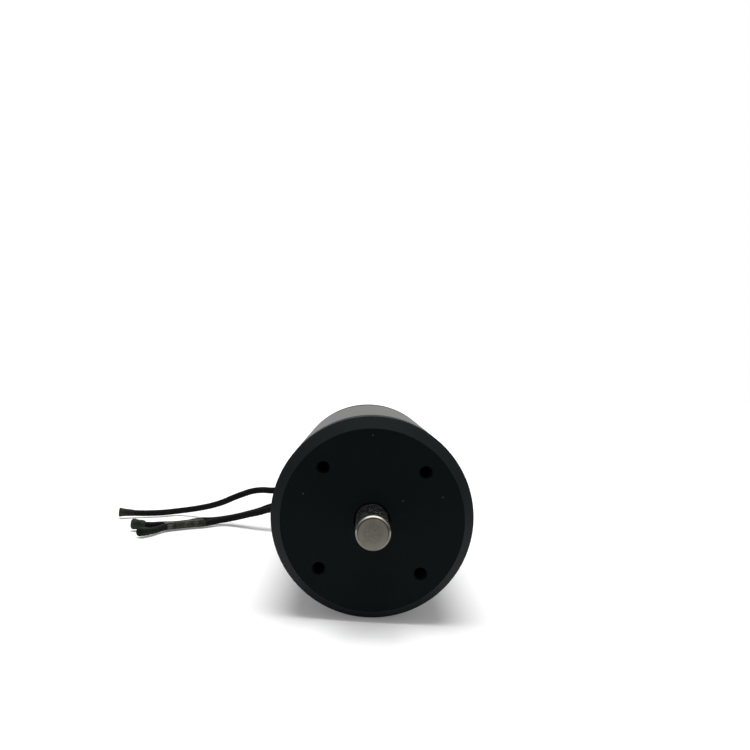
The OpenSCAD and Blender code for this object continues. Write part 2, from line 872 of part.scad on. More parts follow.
// Side faces between rings of n points each, and the two end caps
function tube_faces(rings, n) = concat(
  [
    for (i = [0 : rings - 2], k = [0 : n - 1])
      let (a = n * i + k, b = n * i + (k + 1) % n)
        each [[a, b, a + n], [b, b + n, a + n]]
  ],
  [[for (k = [0 : n - 1]) n - 1 - k]],
  [[for (k = [0 : n - 1]) n * (rings - 1) + k]]
);

// Round tube swept along a route
module swept_tube(route, tube_r, sides) {
  directions = travel(route);
  across = carried(directions, [0, 0, 1]);
  points = [
    for (i = [0 : len(route) - 1])
      let (u = across[i], v = cross(directions[i], u))
        for (k = [0 : sides - 1])
          route[i] + tube_r * (cos(360 * k / sides) * u - sin(360 * k / sides) * v)
  ];
  polyhedron(points = points, faces = tube_faces(len(route), sides));
}

// Whole route of a lead: straight through the rear cover, then free behind it
function lead_route(index, route) =
  let (exit_x = lead_circle_r * cos(lead_angles[index]))
  let (exit_z = lead_circle_r * sin(lead_angles[index]))
  concat(
    [for (s = straight_stations) [exit_x, housing_l + s, exit_z]],
    [for (p = route) p + [0, housing_l, 0]]
  );

module lead(index, route) {
  color(rubber)
    swept_tube(lead_route(index, route), lead_r, lead_sides);
}

module lead_a() {
  lead(0, route_a);
}

module lead_b() {
  lead(1, route_b);
}

module lead_c() {
  lead(2, route_c);
}

// Moves a child that is built along Z onto the end of a route, pointing onwards
module at_route_end(route) {
  last = route[len(route) - 1] + [0, housing_l, 0];
  d = unit(route[len(route) - 1] - route[len(route) - 2]);
  translate(last)
    rotate([0, acos(d[2]), atan2(d[1], d[0])])
      children();
}

// Closed heat-shrunk cap over a lead's end
module closed_tip(route, length, wall) {
  tip_r = lead_r + wall;
  outline = [for (s = tip_round_shares) [s[1] * tip_r, s[0] * length - tip_grip]];
  color(rubber)
    at_route_end(route)
      rotate_extrude()
        polygon(concat(
          [[0, 0], [lead_r, 0], [lead_r, -tip_grip]], outline, [[0, length - tip_grip]]
        ));
}

// Open sleeve over a lead's end, flared at its mouth
module tip_a() {
  sleeve_r = lead_r + tip_a_wall;
  mouth_y = tip_a_l - tip_grip;
  color("#3c423c")
    at_route_end(route_a)
      rotate_extrude()
        polygon([
          [lead_r, -tip_grip], [sleeve_r, -tip_grip], [sleeve_r, 0],
          [sleeve_r + tip_a_flare, mouth_y], [lead_r + tip_a_flare, mouth_y], [lead_r, 0]
        ]);
}

module tip_b() {
  closed_tip(route_b, tip_b_l, tip_b_wall);
}

module tip_c() {
  closed_tip(route_c, tip_c_l, tip_c_wall);
}

// Outline of a band round two leads: half circles at both ends
function band_outline(half_gap, end_r) = [
  for (side = [1, -1], k = [0 : tape_end_sides - 1])
    let (a = side * 90 - 90 + 180 * k / (tape_end_sides - 1) - (side > 0 ? 90 : -90))
      [side * half_gap + side * end_r * cos(a), side * end_r * sin(a)]
];

// Tape wound round two of the leads
module lead_tape() {
  b = [for (i = [0 : tape_points - 1]) route_b[tape_first_b + i] + [0, housing_l, 0]];
  c = [for (i = [0 : tape_points - 1]) route_c[tape_first_c + i] + [0, housing_l, 0]];
  middle = (b + c) / 2;
  directions = travel(middle);
  inner_r = (lead_r + snug) / cos(90 / (tape_end_sides - 1));
  outlines = [for (r = [inner_r + tape_t, inner_r]) band_outline(norm(c[0] - b[0]) / 2, r)];
  n = len(outlines[0]);
  points = [
    for (outline = outlines, i = [0 : tape_points - 1])
      let (u = unit(c[i] - b[i]), v = unit(cross(directions[i], u)))
        for (p = outline) middle[i] + p[0] * u + p[1] * v
  ];
  inner = n * tape_points;
  last = n * (tape_points - 1);
  faces = [
    for (k = [0 : n - 1])
      let (m = (k + 1) % n)
        each concat(
          [
            for (i = [0 : tape_points - 2])
              let (a = n * i + k, b = n * i + m)
                each [
                  [a, a + n, b], [b, a + n, b + n],
                  [inner + a, inner + b, inner + a + n], [inner + b, inner + b + n, inner + a + n]
                ]
          ],
          [
            [k, m, inner + k], [m, inner + m, inner + k],
            [last + k, inner + last + k, last + m], [last + m, inner + last + k, inner + last + m]
          ]
        )
  ];
  color("#5b5d5c")
    polyhedron(points = points, faces = faces);
}

// Shaft: output end, bearing seats, collar and rotor seat
module shaft() {
  color(steel)
    turned([
      [0, -shaft_reach], [shaft_r - shaft_tip_chamfer, -shaft_reach],
      [shaft_r, -shaft_reach + shaft_tip_chamfer], [shaft_r, -relief_lead],
      [shaft_r - relief_depth, -relief_lead], [shaft_r - relief_depth, relief_l - relief_lead],
      [shaft_r, relief_l - relief_lead], [shaft_r, front_bearing_end_y],
      [collar_r, front_bearing_end_y], [collar_r, front_bearing_end_y + collar_l],
      [rotor_seat_r, front_bearing_end_y + collar_l], [rotor_seat_r, rotor_seat_end_y],
      [shaft_r, rotor_seat_end_y], [shaft_r, rear_bearing_y],
      [rear_journal_r, rear_bearing_y], [rear_journal_r, rear_bearing_end_y],
      [rear_journal_r - shaft_clip_depth, rear_bearing_end_y],
      [rear_journal_r - shaft_clip_depth, rear_bearing_end_y + shaft_clip_t],
      [rear_journal_r, rear_bearing_end_y + shaft_clip_t],
      [rear_journal_r, shaft_end_y - shaft_tip_chamfer],
      [rear_journal_r - shaft_tip_chamfer, shaft_end_y], [0, shaft_end_y]
    ]);
}

// Steel core that carries the magnets, with lightening holes
module rotor_core() {
  color(steel)
    difference() {
      ring(rotor_seat_r, rotor_core_r, rotor_y, rotor_l);
      repeat_around(core_hole_count, core_hole_circle_r)
        along(rotor_y - overrun)
          cylinder(r = core_hole_r, h = rotor_l + 2 * overrun);
    }
}

// Curved magnets round the core
module rotor_magnets() {
  half_gap_angle = asin(magnet_gap / 2 / rotor_core_r);
  step = 360 / pole_count;
  color("#6f7275")
    for (i = [0 : pole_count - 1])
      ring_sector(
        rotor_core_r, magnet_r, rotor_y, rotor_l, i * step + half_gap_angle,
        (i + 1) * step - half_gap_angle
      );
}

// Thin sleeve that holds the magnets and keeps water off them
module rotor_sleeve() {
  color(steel)
    ring(magnet_r, rotor_r, rotor_y, rotor_l);
}

// Ring at each end of the rotor, drilled for balance
module balance_ring(y, outer_face_y, drill) {
  color(copper)
    difference() {
      ring(rotor_seat_r, magnet_r, y, balance_ring_l);
      for (angle = balance_hole_angles)
        around(core_hole_circle_r, angle * drill)
          along(outer_face_y)
            cylinder(r = balance_hole_r, h = balance_hole_depth + overrun);
    }
}

module front_balance_ring() {
  balance_ring(rotor_y - balance_ring_l, rotor_y - balance_ring_l - overrun, 1);
}

module rear_balance_ring() {
  end_y = rotor_seat_end_y;
  balance_ring(end_y - balance_ring_l, end_y - balance_hole_depth, -1);
}

// Clip on the shaft behind the rear bearing
module shaft_circlip() {
  clip_in_r = rear_journal_r - shaft_clip_depth;
  clip_out_r = rear_journal_r + shaft_clip_height;
  opening = 40;
  color(steel)
    difference() {
      ring(clip_in_r, clip_out_r, rear_bearing_end_y, shaft_clip_t);
      ring_sector(
        clip_in_r - overrun, clip_out_r + overrun, rear_bearing_end_y - overrun,
        shaft_clip_t + 2 * overrun, -opening / 2, opening / 2
      );
    }
}

front_cover();
housing_tube();
rear_cover();
front_sealing_ring();
rear_sealing_ring();
shaft_seal();
seal_spring();
seal_circlip();
front_outer_race();
front_shields();
rear_outer_race();
rear_shields();
wave_washer();
stator_core();
front_insulator();
rear_insulator();
winding_u();
winding_v();
winding_w();
through_bolts();
bolt_seals();
lead_grommets();
lead_resin();
lead_splices();
lead_a();
lead_b();
lead_c();
tip_a();
tip_b();
tip_c();
lead_tape();
shaft();
rotor_core();
rotor_magnets();
rotor_sleeve();
front_balance_ring();
rear_balance_ring();
front_inner_race();
rear_inner_race();
shaft_circlip();
front_balls();
front_cage();
rear_balls();
rear_cage();
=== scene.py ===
"""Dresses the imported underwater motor: finishes, leads, lead tips, tape, threads and stage."""

import json
import math

import bmesh
import bpy
from bpy.props import FloatProperty, FloatVectorProperty, IntProperty, PointerProperty
from mathutils import Matrix, Vector, noise


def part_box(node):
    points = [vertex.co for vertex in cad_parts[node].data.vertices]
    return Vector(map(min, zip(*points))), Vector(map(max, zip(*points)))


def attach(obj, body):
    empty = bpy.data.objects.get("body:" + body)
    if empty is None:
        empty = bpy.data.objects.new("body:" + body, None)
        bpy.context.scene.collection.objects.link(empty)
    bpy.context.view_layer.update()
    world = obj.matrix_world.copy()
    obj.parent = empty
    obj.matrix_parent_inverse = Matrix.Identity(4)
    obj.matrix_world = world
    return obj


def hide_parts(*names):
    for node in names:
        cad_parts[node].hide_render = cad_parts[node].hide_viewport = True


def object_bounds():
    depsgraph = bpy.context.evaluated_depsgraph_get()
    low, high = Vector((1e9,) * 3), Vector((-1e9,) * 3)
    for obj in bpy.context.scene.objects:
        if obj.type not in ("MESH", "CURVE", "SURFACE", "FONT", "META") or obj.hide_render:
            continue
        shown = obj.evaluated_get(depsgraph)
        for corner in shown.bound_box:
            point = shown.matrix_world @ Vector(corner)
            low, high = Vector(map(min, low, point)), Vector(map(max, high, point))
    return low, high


bl_info = {
    "name": "Underwater brushless motor",
    "version": (1, 0, 0),
    "blender": (4, 5, 0),
    "location": "3D View > Sidebar > Motor",
    "description": "Builds the finishes, leads and stage of an underwater brushless motor",
    "category": "Object",
}

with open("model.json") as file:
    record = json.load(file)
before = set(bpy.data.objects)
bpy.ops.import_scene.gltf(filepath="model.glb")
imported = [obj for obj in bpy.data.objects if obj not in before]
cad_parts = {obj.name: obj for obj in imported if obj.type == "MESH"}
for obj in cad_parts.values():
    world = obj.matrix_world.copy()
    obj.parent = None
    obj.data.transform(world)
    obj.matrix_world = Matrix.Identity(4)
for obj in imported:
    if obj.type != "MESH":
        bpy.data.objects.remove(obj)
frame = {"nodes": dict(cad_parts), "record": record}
CAD_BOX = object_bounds()
SLOT_OF_NODE = {part["node"]: part["material_slot"] for part in frame["record"]["subparts"]}

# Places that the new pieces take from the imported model
REAR_FACE_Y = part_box("rear_cover")[1].y
GROMMET_NOSE_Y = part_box("lead_grommets")[1].y
LEAD_START_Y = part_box("lead_a")[0].y
SHAFT_TIP_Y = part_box("shaft")[0].y
FLOOR_Z = CAD_BOX[0].z

# The pale floor: half its side, its reach towards the camera and its gap below the motor
FLOOR_HALF = 3.0
FLOOR_FRONT = 0.107
FLOOR_GAP = 0.00002

# Angles of the four mounting holes round the shaft's axis
HOLE_ANGLES = [math.radians(angle) for angle in (45, 135, 225, 315)]

# Centres of the leads where they leave the rear cover, from the shaft's axis
LEAD_CIRCLE_R = 0.01875
LEAD_EXIT_ANGLES = {"a": math.radians(195), "b": math.radians(225), "c": math.radians(255)}

# Free routes of the leads: x, distance behind the rear face and z
LEADS = {
    "a": [
        (-0.0193, 0.0125, -0.005), (-0.0226, 0.0186, -0.0059), (-0.0276, 0.0234, -0.0078),
        (-0.0334, 0.0266, -0.01), (-0.0393, 0.0289, -0.0119), (-0.0446, 0.0306, -0.0129),
        (-0.0498, 0.0326, -0.0132), (-0.0546, 0.0346, -0.0142), (-0.0595, 0.037, -0.0162),
        (-0.0646, 0.0402, -0.0187), (-0.07, 0.044, -0.0216), (-0.0757, 0.048, -0.0241),
        (-0.0818, 0.052, -0.0262), (-0.0885, 0.055, -0.028), (-0.0952, 0.0552, -0.0292),
        (-0.1008, 0.0498, -0.0294), (-0.1062, 0.0459, -0.0294), (-0.1119, 0.0426, -0.0292),
        (-0.1174, 0.039, -0.0286),
    ],
    "b": [
        (-0.0142, 0.012, -0.0133), (-0.0174, 0.0176, -0.0138), (-0.0226, 0.022, -0.0147),
        (-0.029, 0.0248, -0.0159), (-0.0367, 0.0266, -0.0177), (-0.0455, 0.0289, -0.0206),
        (-0.0505, 0.0305, -0.0229), (-0.0563, 0.0327, -0.0251), (-0.0623, 0.0352, -0.0272),
        (-0.068, 0.0364, -0.0287), (-0.0728, 0.0338, -0.0292), (-0.0779, 0.0268, -0.0286),
        (-0.0833, 0.0216, -0.0291), (-0.0885, 0.0164, -0.0292), (-0.0934, 0.0107, -0.0287),
        (-0.0982, 0.0083, -0.0288), (-0.104, 0.0062, -0.0283),
    ],
    "c": [
        (-0.0058, 0.012, -0.0182), (-0.0094, 0.017, -0.0187), (-0.0152, 0.02, -0.0193),
        (-0.0222, 0.0218, -0.0199), (-0.0297, 0.0232, -0.0205), (-0.0374, 0.0245, -0.0211),
        (-0.0451, 0.0256, -0.0214), (-0.0501, 0.0268, -0.0231), (-0.0559, 0.0289, -0.0249),
        (-0.0617, 0.0316, -0.0269), (-0.0672, 0.0327, -0.0284), (-0.0714, 0.03, -0.029),
        (-0.0759, 0.024, -0.0293), (-0.0811, 0.0194, -0.0293), (-0.0863, 0.0142, -0.0293),
        (-0.091, 0.0087, -0.0293), (-0.0936, 0.0022, -0.0295), (-0.0955, -0.0044, -0.0293),
        (-0.0978, -0.0083, -0.029),
    ],
}

# The taped stretch: first point on each route and number of points
TAPE_FIRST = {"b": 11, "c": 12}
TAPE_POINTS = 4

# Lead tips: how far each reaches back over its sheath and how far the open mouth stands out
TIP_GRIP = 0.004
SLEEVE_MOUTH = 0.003

# The closed caps: length, radius of the swollen end, how flat they are pinched, and the place
# in the noise that their lumps come from
CAPS = {"b": (0.0065, 0.0025, 0.02, 2.0), "c": (0.0065, 0.002, 0.04, 3.0)}

# Least height of the tips and the tape above the level that the motor rests on
REST_GAP = 0.00004


def length_setting(name, description, default, least, most):
    """A length that a user may change."""
    return FloatProperty(
        name=name, description=description, default=default, min=least, max=most,
        unit="LENGTH", subtype="DISTANCE",
    )


def colour_setting(name, description, default):
    """A colour that a user may change."""
    return FloatVectorProperty(
        name=name, description=description, default=default, size=3, min=0, max=1,
        subtype="COLOR",
    )


def level_setting(name, description, default, most):
    """A brightness that a user may change, from none upwards."""
    return FloatProperty(name=name, description=description, default=default, min=0, max=most)


class MotorSizes(bpy.types.PropertyGroup):
    """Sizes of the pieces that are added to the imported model"""

    lead_d: length_setting("Lead diameter", "Outer diameter of each lead's sheath", 0.003, 0.0026, 0.0031)
    tape_t: length_setting(
        "Tape thickness", "Thickness of the tape round two of the leads", 0.00008, 0.00005, 0.0004,
    )
    tape_crinkle: length_setting("Tape crinkle", "How far the tape's creases rise", 0.00013, 0.0, 0.0005)
    thread_pitch: length_setting(
        "Thread pitch", "Pitch of the threads in the mounting holes", 0.0007, 0.0004, 0.001,
    )
    hole_d: length_setting("Mounting hole", "Diameter of the mounting holes", 0.004, 0.003, 0.005)
    hole_circle_d: length_setting(
        "Hole circle", "Diameter of the circle through the mounting holes", 0.044, 0.042, 0.046,
    )
    strands: IntProperty(
        name="Strands", description="Wire strands round the middle one in the open lead's end",
        default=6, min=4, max=8,
    )


class MotorColours(bpy.types.PropertyGroup):
    """Colours of the motor's main finishes"""

    cover: colour_setting("Covers", "Matt black anodised covers", (0.0062, 0.0088, 0.0096))
    tube: colour_setting("Tube", "Satin black anodised housing tube", (0.0150, 0.0145, 0.0125))
    steel: colour_setting("Shaft", "Ground stainless steel of the shaft", (0.36, 0.335, 0.292))
    sheath: colour_setting("Leads", "Matt black sheath of the leads", (0.0095, 0.0098, 0.0098))
    tape: colour_setting("Tape", "Crumpled grey tape", (0.19, 0.19, 0.175))
    open_tip: colour_setting("Open tip", "Dusty open sleeve on one lead", (0.041, 0.048, 0.035))
    closed_tip: colour_setting("Closed tips", "Closed caps on two leads", (0.018, 0.026, 0.017))


class MotorStage(bpy.types.PropertyGroup):
    """Camera and light"""

    camera_place: FloatVectorProperty(
        name="Camera", description="Place of the camera",
        default=(-0.00625, -0.26945, 0.04346), size=3, subtype="TRANSLATION", unit="LENGTH",
    )
    camera_turn: FloatVectorProperty(
        name="Camera turn", description="Yaw, pitch and roll of the camera",
        default=(math.radians(-1.768), math.radians(4.33), math.radians(2.697)), size=3,
        subtype="EULER", unit="ROTATION",
    )
    lens: FloatProperty(
        name="Lens", description="Focal length for a 36 mm sensor, in millimetres",
        default=42.96, min=20, max=120,
    )
    lens_shift: FloatVectorProperty(
        name="Lens shift", description="Shift of the lens across and up, in picture widths",
        default=(0.0632, 0.0905), size=2, min=-0.2, max=0.2,
    )
    key_level: level_setting("Key light", "Strength of the soft light from above", 2.5, 6)
    fill_level: level_setting("Fill light", "Strength of the light from all round", 0.36, 1)
    front_level: level_setting("Front reflection", "Brightness of the room on the camera's side", 0.16, 1)
    overhead_level: level_setting(
        "Overhead reflection", "Extra brightness of the room straight above", 1.8, 4,
    )
    floor_glow: level_setting("Floor glow", "How much the floor is lifted where it is seen", 0.15, 1)
    key_softness: FloatProperty(
        name="Key softness", description="Angle over which the light from above is spread",
        default=math.radians(44.0), min=0, max=math.pi, subtype="ANGLE", unit="ROTATION",
    )
    key_turn: FloatVectorProperty(
        name="Key turn", description="Turn of the light from above, away from straight down",
        default=(math.radians(-3.0), math.radians(-1.0), 0.0), size=3,
        subtype="EULER", unit="ROTATION",
    )


class Signal:
    """A socket of a node. Python's operators on it add Math nodes to the same tree."""

    def __init__(self, nodes, socket):
        self.nodes = nodes
        self.socket = socket

    def __add__(self, other):
        return self.nodes.math("ADD", self, other)

    __radd__ = __add__

    def __sub__(self, other):
        return self.nodes.math("SUBTRACT", self, other)

    def __rsub__(self, other):
        return self.nodes.math("SUBTRACT", other, self)

    def __mul__(self, other):
        return self.nodes.math("MULTIPLY", self, other)

    __rmul__ = __mul__

    def __truediv__(self, other):
        return self.nodes.math("DIVIDE", self, other)

    def __rtruediv__(self, other):
        return self.nodes.math("DIVIDE", other, self)

    def __pow__(self, other):
        return self.nodes.math("POWER", self, other)

    def __rpow__(self, other):
        return self.nodes.math("POWER", other, self)


class Nodes:
    """The node tree of a material or of the world, under construction."""

    def __init__(self, tree):
        self.tree = tree

    def node(self, kind, settings=None, inputs=None, output=0):
        """Adds any node: its settings first, then the values or links of its sockets."""
        made = self.tree.nodes.new(kind)
        for key, value in (settings or {}).items():
            setattr(made, key, value)
        for key, value in (inputs or {}).items():
            if isinstance(value, Signal):
                self.tree.links.new(value.socket, made.inputs[key])
            else:
                made.inputs[key].default_value = value
        return Signal(self, made.outputs[output])

    def math(self, operation, *values):
        """A Math node on numbers or sockets."""
        return self.node("ShaderNodeMath", {"operation": operation}, dict(enumerate(values)))

    def parts(self, vector):
        """X, Y and Z of a vector."""
        return [self.node("ShaderNodeSeparateXYZ", {}, {0: vector}, axis) for axis in "XYZ"]

    def mask(self, value, low, high):
        """0 below low, 1 above high, smooth in between."""
        settings = {"interpolation_type": "SMOOTHSTEP"}
        return self.node("ShaderNodeMapRange", settings, {0: value, 1: low, 2: high})

    def band(self, value, start, full, fading, end):
        """1 from full to fading, 0 before start and after end, smooth in between."""
        return self.mask(value, start, full) * (1.0 - self.mask(value, fading, end))

    def ray(self, kind):
        """1 for rays of that kind, such as Is Camera Ray, else 0."""
        return self.node("ShaderNodeLightPath", output=kind)

    def mirrored(self):
        """1 for rays that come off or through something, else 0."""
        return self.math("MAXIMUM", self.ray("Is Glossy Ray"), self.ray("Is Transmission Ray"))


class Finish(Nodes):
    """A material under construction, with the object's own coordinates at hand."""

    def __init__(self, name):
        self.material = bpy.data.materials.new(f"{name}_finish")
        self.material.use_nodes = True
        super().__init__(self.material.node_tree)
        self.shader = self.tree.nodes["Principled BSDF"]
        self.place = self.node("ShaderNodeTexCoord", output="Object")
        self.x, self.y, self.z = self.parts(self.place)
        self.radius = (self.x * self.x + self.z * self.z) ** 0.5

    def noise(self, scale, detail=2.0, vector=None):
        """Soft cloudy noise of 0 to 1, on the object's own coordinates unless told otherwise."""
        inputs = {"Vector": vector or self.place, "Scale": scale, "Detail": detail}
        return self.node("ShaderNodeTexNoise", {}, inputs, "Fac")

    def mix(self, share, first, second):
        """Mix of two colours."""
        inputs = {0: share, 6: rgba(first), 7: rgba(second)}
        return self.node("ShaderNodeMix", {"data_type": "RGBA"}, inputs, 2)

    def vector(self, x, y, z):
        """A vector from three numbers or sockets."""
        return self.node("ShaderNodeCombineXYZ", {}, {0: x, 1: y, 2: z})

    def distance(self, point):
        """Distance of the surface from a point."""
        inputs = {0: self.place, 1: tuple(point)}
        return self.node("ShaderNodeVectorMath", {"operation": "DISTANCE"}, inputs, "Value")

    def turned_lines(self, pitch, detail=2.0):
        """Tool marks round the shaft's axis: rings on faces and lines round cylinders."""
        return self.noise(1.0, detail, self.vector(self.radius / pitch, self.y / pitch, 0.0))

    def feed(self, socket, value):
        """Gives one of the shader's sockets its value or link."""
        if isinstance(value, Signal):
            self.tree.links.new(value.socket, self.shader.inputs[socket])
        else:
            self.shader.inputs[socket].default_value = value

    def bump(self, height, distance, strength):
        """Makes the light see a height on the surface; a height of 1 stands for the distance."""
        inputs = {"Height": height, "Distance": distance, "Strength": strength}
        self.feed("Normal", self.node("ShaderNodeBump", {}, inputs))

    def done(self, colour, roughness, **sockets):
        """Sets the shader's colour, roughness and any other of its sockets."""
        self.feed("Base Color", colour)
        self.feed("Roughness", roughness)
        for name, value in sockets.items():
            self.feed(name.replace("_", " "), value)
        return self.material


def rgba(colour):
    """A colour as a node takes it."""
    if isinstance(colour, Signal):
        return colour
    return (*colour, 1.0)


def shade(colour, level):
    """A colour made lighter or darker."""
    return tuple(channel * level for channel in colour)


def sizes():
    """The sizes that a user may change."""
    return bpy.context.scene.motor_sizes


def colours():
    """The colours that a user may change."""
    return bpy.context.scene.motor_colours


def cover_anodised():
    """Fine matt black anodised covers, turned, with a few dust specks on the mounting face."""
    f = Finish("cover_anodised")
    colour = colours().cover
    mark_pitch = 0.00022
    face_depth = (0.0001, 0.0003)
    cloud = f.noise(55.0, 4.0)
    lines = f.turned_lines(mark_pitch)
    grain = f.noise(5200.0, 2.0)
    cells = {"Vector": f.vector(f.x, f.z, 0.0), "Scale": 95.0}
    settings = {"voronoi_dimensions": "2D"}
    spot = f.node("ShaderNodeTexVoronoi", settings, cells, "Distance")
    tint = f.node("ShaderNodeTexVoronoi", settings, cells, "Color")
    pick = f.node("ShaderNodeSeparateColor", {}, {0: tint}, "Red")
    on_face = 1.0 - f.mask(f.y, *face_depth)
    dust = (1.0 - f.mask(spot, 0.012, 0.026)) * f.mask(pick, 0.72, 0.76) * on_face
    base = f.mix(cloud, shade(colour, 0.82), shade(colour, 1.2))
    base = f.mix(f.mask(lines, 0.55, 0.8) * 0.25, base, shade(colour, 1.9))
    base = f.mix(dust * 0.7, base, (0.11, 0.11, 0.10))
    f.bump(lines * 0.6 + grain * 0.4, 0.00003, 0.35)
    rough = 0.46 + 0.10 * cloud + 0.06 * grain
    return f.done(base, rough, Specular_IOR_Level=0.02)


def tube_anodised():
    """Satin black anodised tube with turning lines round it."""
    f = Finish("tube_anodised")
    colour = colours().tube
    mark_pitch = 0.00035
    cloud = f.noise(45.0, 4.0)
    lines = f.turned_lines(mark_pitch)
    streaks = f.noise(1.0, 3.0, f.vector(f.x * 60.0, f.y * 900.0, f.z * 60.0))
    base = f.mix(cloud, shade(colour, 0.85), shade(colour, 1.2))
    f.bump(lines * 0.7 + streaks * 0.3, 0.00004, 0.3)
    rough = 0.34 + 0.08 * streaks + 0.04 * lines
    return f.done(base, rough, Specular_IOR_Level=0.17)


def shaft_steel():
    """Ground steel: fine rings, a speckled tip with a rough middle, a painted shade line round the upper
    part of its rim, and painted shade on the edge's lower half.
    """
    f = Finish("shaft_steel")
    colour = colours().steel
    mark_pitch = 0.00016
    ring_pitch = 0.0004
    middle_r = (0.0027, 0.0038)
    middle_wander = 0.0006
    core_r = (0.0019, 0.0026)
    # Radii and heights of a painted shade line near the tip's rim, shown on its upper part only
    shade_line_r = (0.0041, 0.00425, 0.00454, 0.0046)
    shade_line_z = (-0.0028, 0.0012)
    # Heights over which the edge turns darker towards the bottom: painted shade
    shaded_rim_z = (-0.0015, 0.0025)
    tip_y = (SHAFT_TIP_Y + 0.00003, SHAFT_TIP_Y + 0.0001)
    side_y = (SHAFT_TIP_Y + 0.0004, SHAFT_TIP_Y + 0.0006)
    lines = f.turned_lines(mark_pitch, 3.0)
    cloud = f.noise(300.0, 3.0)
    speckle = f.noise(2300.0, 3.0)
    on_tip = 1.0 - f.mask(f.y, *tip_y)
    on_side = f.mask(f.y, *side_y)
    on_edge = 1.0 - f.math("MAXIMUM", on_side, on_tip)
    middle = (1.0 - f.mask(f.radius + middle_wander * cloud, *middle_r)) * on_tip
    core = (1.0 - f.mask(f.radius, *core_r)) * on_tip
    rings = f.noise(1.0, 2.0, f.vector(f.radius / ring_pitch, 0.0, 0.0))
    light = f.mix(lines, shade(colour, 0.86), shade(colour, 1.08))
    light = f.mix(on_side, light, f.mix(lines, (0.60, 0.605, 0.62), (0.70, 0.70, 0.71)))
    # Painted shade: the lower half of the edge is darkened
    below = 1.0 - f.mask(f.z, *shaded_rim_z)
    light = f.mix(on_edge, light, f.mix(below, colour, shade(colour, 0.42)))
    light = f.mix(f.mask(cloud, 0.52, 0.68) * on_tip * 0.5, light, (0.25, 0.24, 0.17))
    light = f.mix(middle * 0.8, light, shade(colour, 0.78))
    light = f.mix(core * f.mask(speckle, 0.5, 0.64) * 0.4, light, shade(colour, 1.15))
    light = f.mix(core * (1.0 - f.mask(speckle, 0.36, 0.5)) * 0.5, light, shade(colour, 0.6))
    light = f.mix(on_tip * f.mask(rings, 0.5, 0.62) * 0.14, light, shade(colour, 0.7))
    # Painted shade: a dark line near the tip's rim, fading out towards the bottom
    line = f.band(f.radius, *shade_line_r) * f.mask(f.z, *shade_line_z)
    light = f.mix(line * 0.85, light, shade(colour, 0.2))
    marks = (lines * 0.6 + speckle * 0.4) * (0.25 + 0.75 * on_tip)
    f.bump(marks + speckle * core * 1.2, 0.00002, 0.5)
    rough = 0.32 + 0.08 * cloud - 0.16 * on_edge - 0.12 * on_side
    return f.done(light, rough, Metallic=1.0)


def turned_metal(name, colour, roughness, pitch, tint=(1.0, 1.0, 1.0)):
    """Bare metal with tool marks round the shaft's axis and a little staining."""
    f = Finish(name)
    lines = f.turned_lines(pitch, 3.0)
    cloud = f.noise(160.0, 4.0)
    stained = tuple(a * b for a, b in zip(shade(colour, 0.72), tint))
    base = f.mix(f.mask(cloud, 0.42, 0.72), shade(colour, 1.06), stained)
    base = f.mix(f.mask(lines, 0.5, 0.75) * 0.3, base, shade(colour, 0.8))
    f.bump(lines, 0.00002, 0.5)
    return f.done(base, roughness + 0.10 * cloud + 0.06 * lines, Metallic=1.0)


def bearing_steel():
    return turned_metal("bearing_steel", (0.62, 0.62, 0.615), 0.14, 0.00012)


def rotor_steel():
    return turned_metal("rotor_steel", (0.40, 0.395, 0.39), 0.32, 0.0003, (1.0, 0.93, 0.85))


def sleeve_steel():
    return turned_metal("sleeve_steel", (0.54, 0.54, 0.55), 0.24, 0.0005)


def balance_brass():
    return turned_metal("balance_brass", (0.66, 0.49, 0.22), 0.26, 0.0002, (0.9, 0.85, 0.8))


def cage_steel():
    """Pressed steel strip with small dents and a warm tarnish."""
    f = Finish("cage_steel")
    colour = (0.50, 0.46, 0.38)
    dents = f.noise(900.0, 2.0)
    tarnish = f.noise(260.0, 4.0)
    base = f.mix(f.mask(tarnish, 0.4, 0.7), colour, shade(colour, 0.62))
    f.bump(dents, 0.00003, 0.4)
    return f.done(base, 0.28 + 0.16 * tarnish, Metallic=1.0)


def spring_steel():
    """Bright drawn spring steel with faint heat colour."""
    f = Finish("spring_steel")
    colour = (0.47, 0.48, 0.50)
    drawn = f.noise(1.0, 3.0, f.vector(f.radius * 7000.0, f.y * 7000.0, 0.0))
    heat = f.noise(240.0, 3.0)
    base = f.mix(f.mask(heat, 0.45, 0.7) * 0.6, colour, (0.34, 0.30, 0.27))
    f.bump(drawn, 0.00001, 0.5)
    return f.done(base, 0.22 + 0.10 * drawn, Metallic=1.0)


def bolt_steel():
    """Satin stainless bolts: rolled thread at the front with painted shade in its roots, turned heads at
    the rear.
    """
    f = Finish("bolt_steel")
    colour = (0.44, 0.44, 0.43)
    pitch = 0.0005
    thread_end_y = (0.026, 0.027)
    flank = f.math("PINGPONG", f.y / pitch, 0.5) * 2.0
    threaded = 1.0 - f.mask(f.y, *thread_end_y)
    grain = f.noise(2400.0, 3.0)
    stain = f.noise(350.0, 4.0)
    base = f.mix(f.mask(stain, 0.45, 0.7), colour, shade(colour, 0.7))
    # Painted shade: the thread's roots are darkened
    base = f.mix(threaded * (1.0 - flank) * 0.6, base, shade(colour, 0.35))
    f.bump(flank * threaded * 8.0 + grain, 0.00003, 0.6)
    return f.done(base, 0.30 + 0.14 * grain, Metallic=1.0)


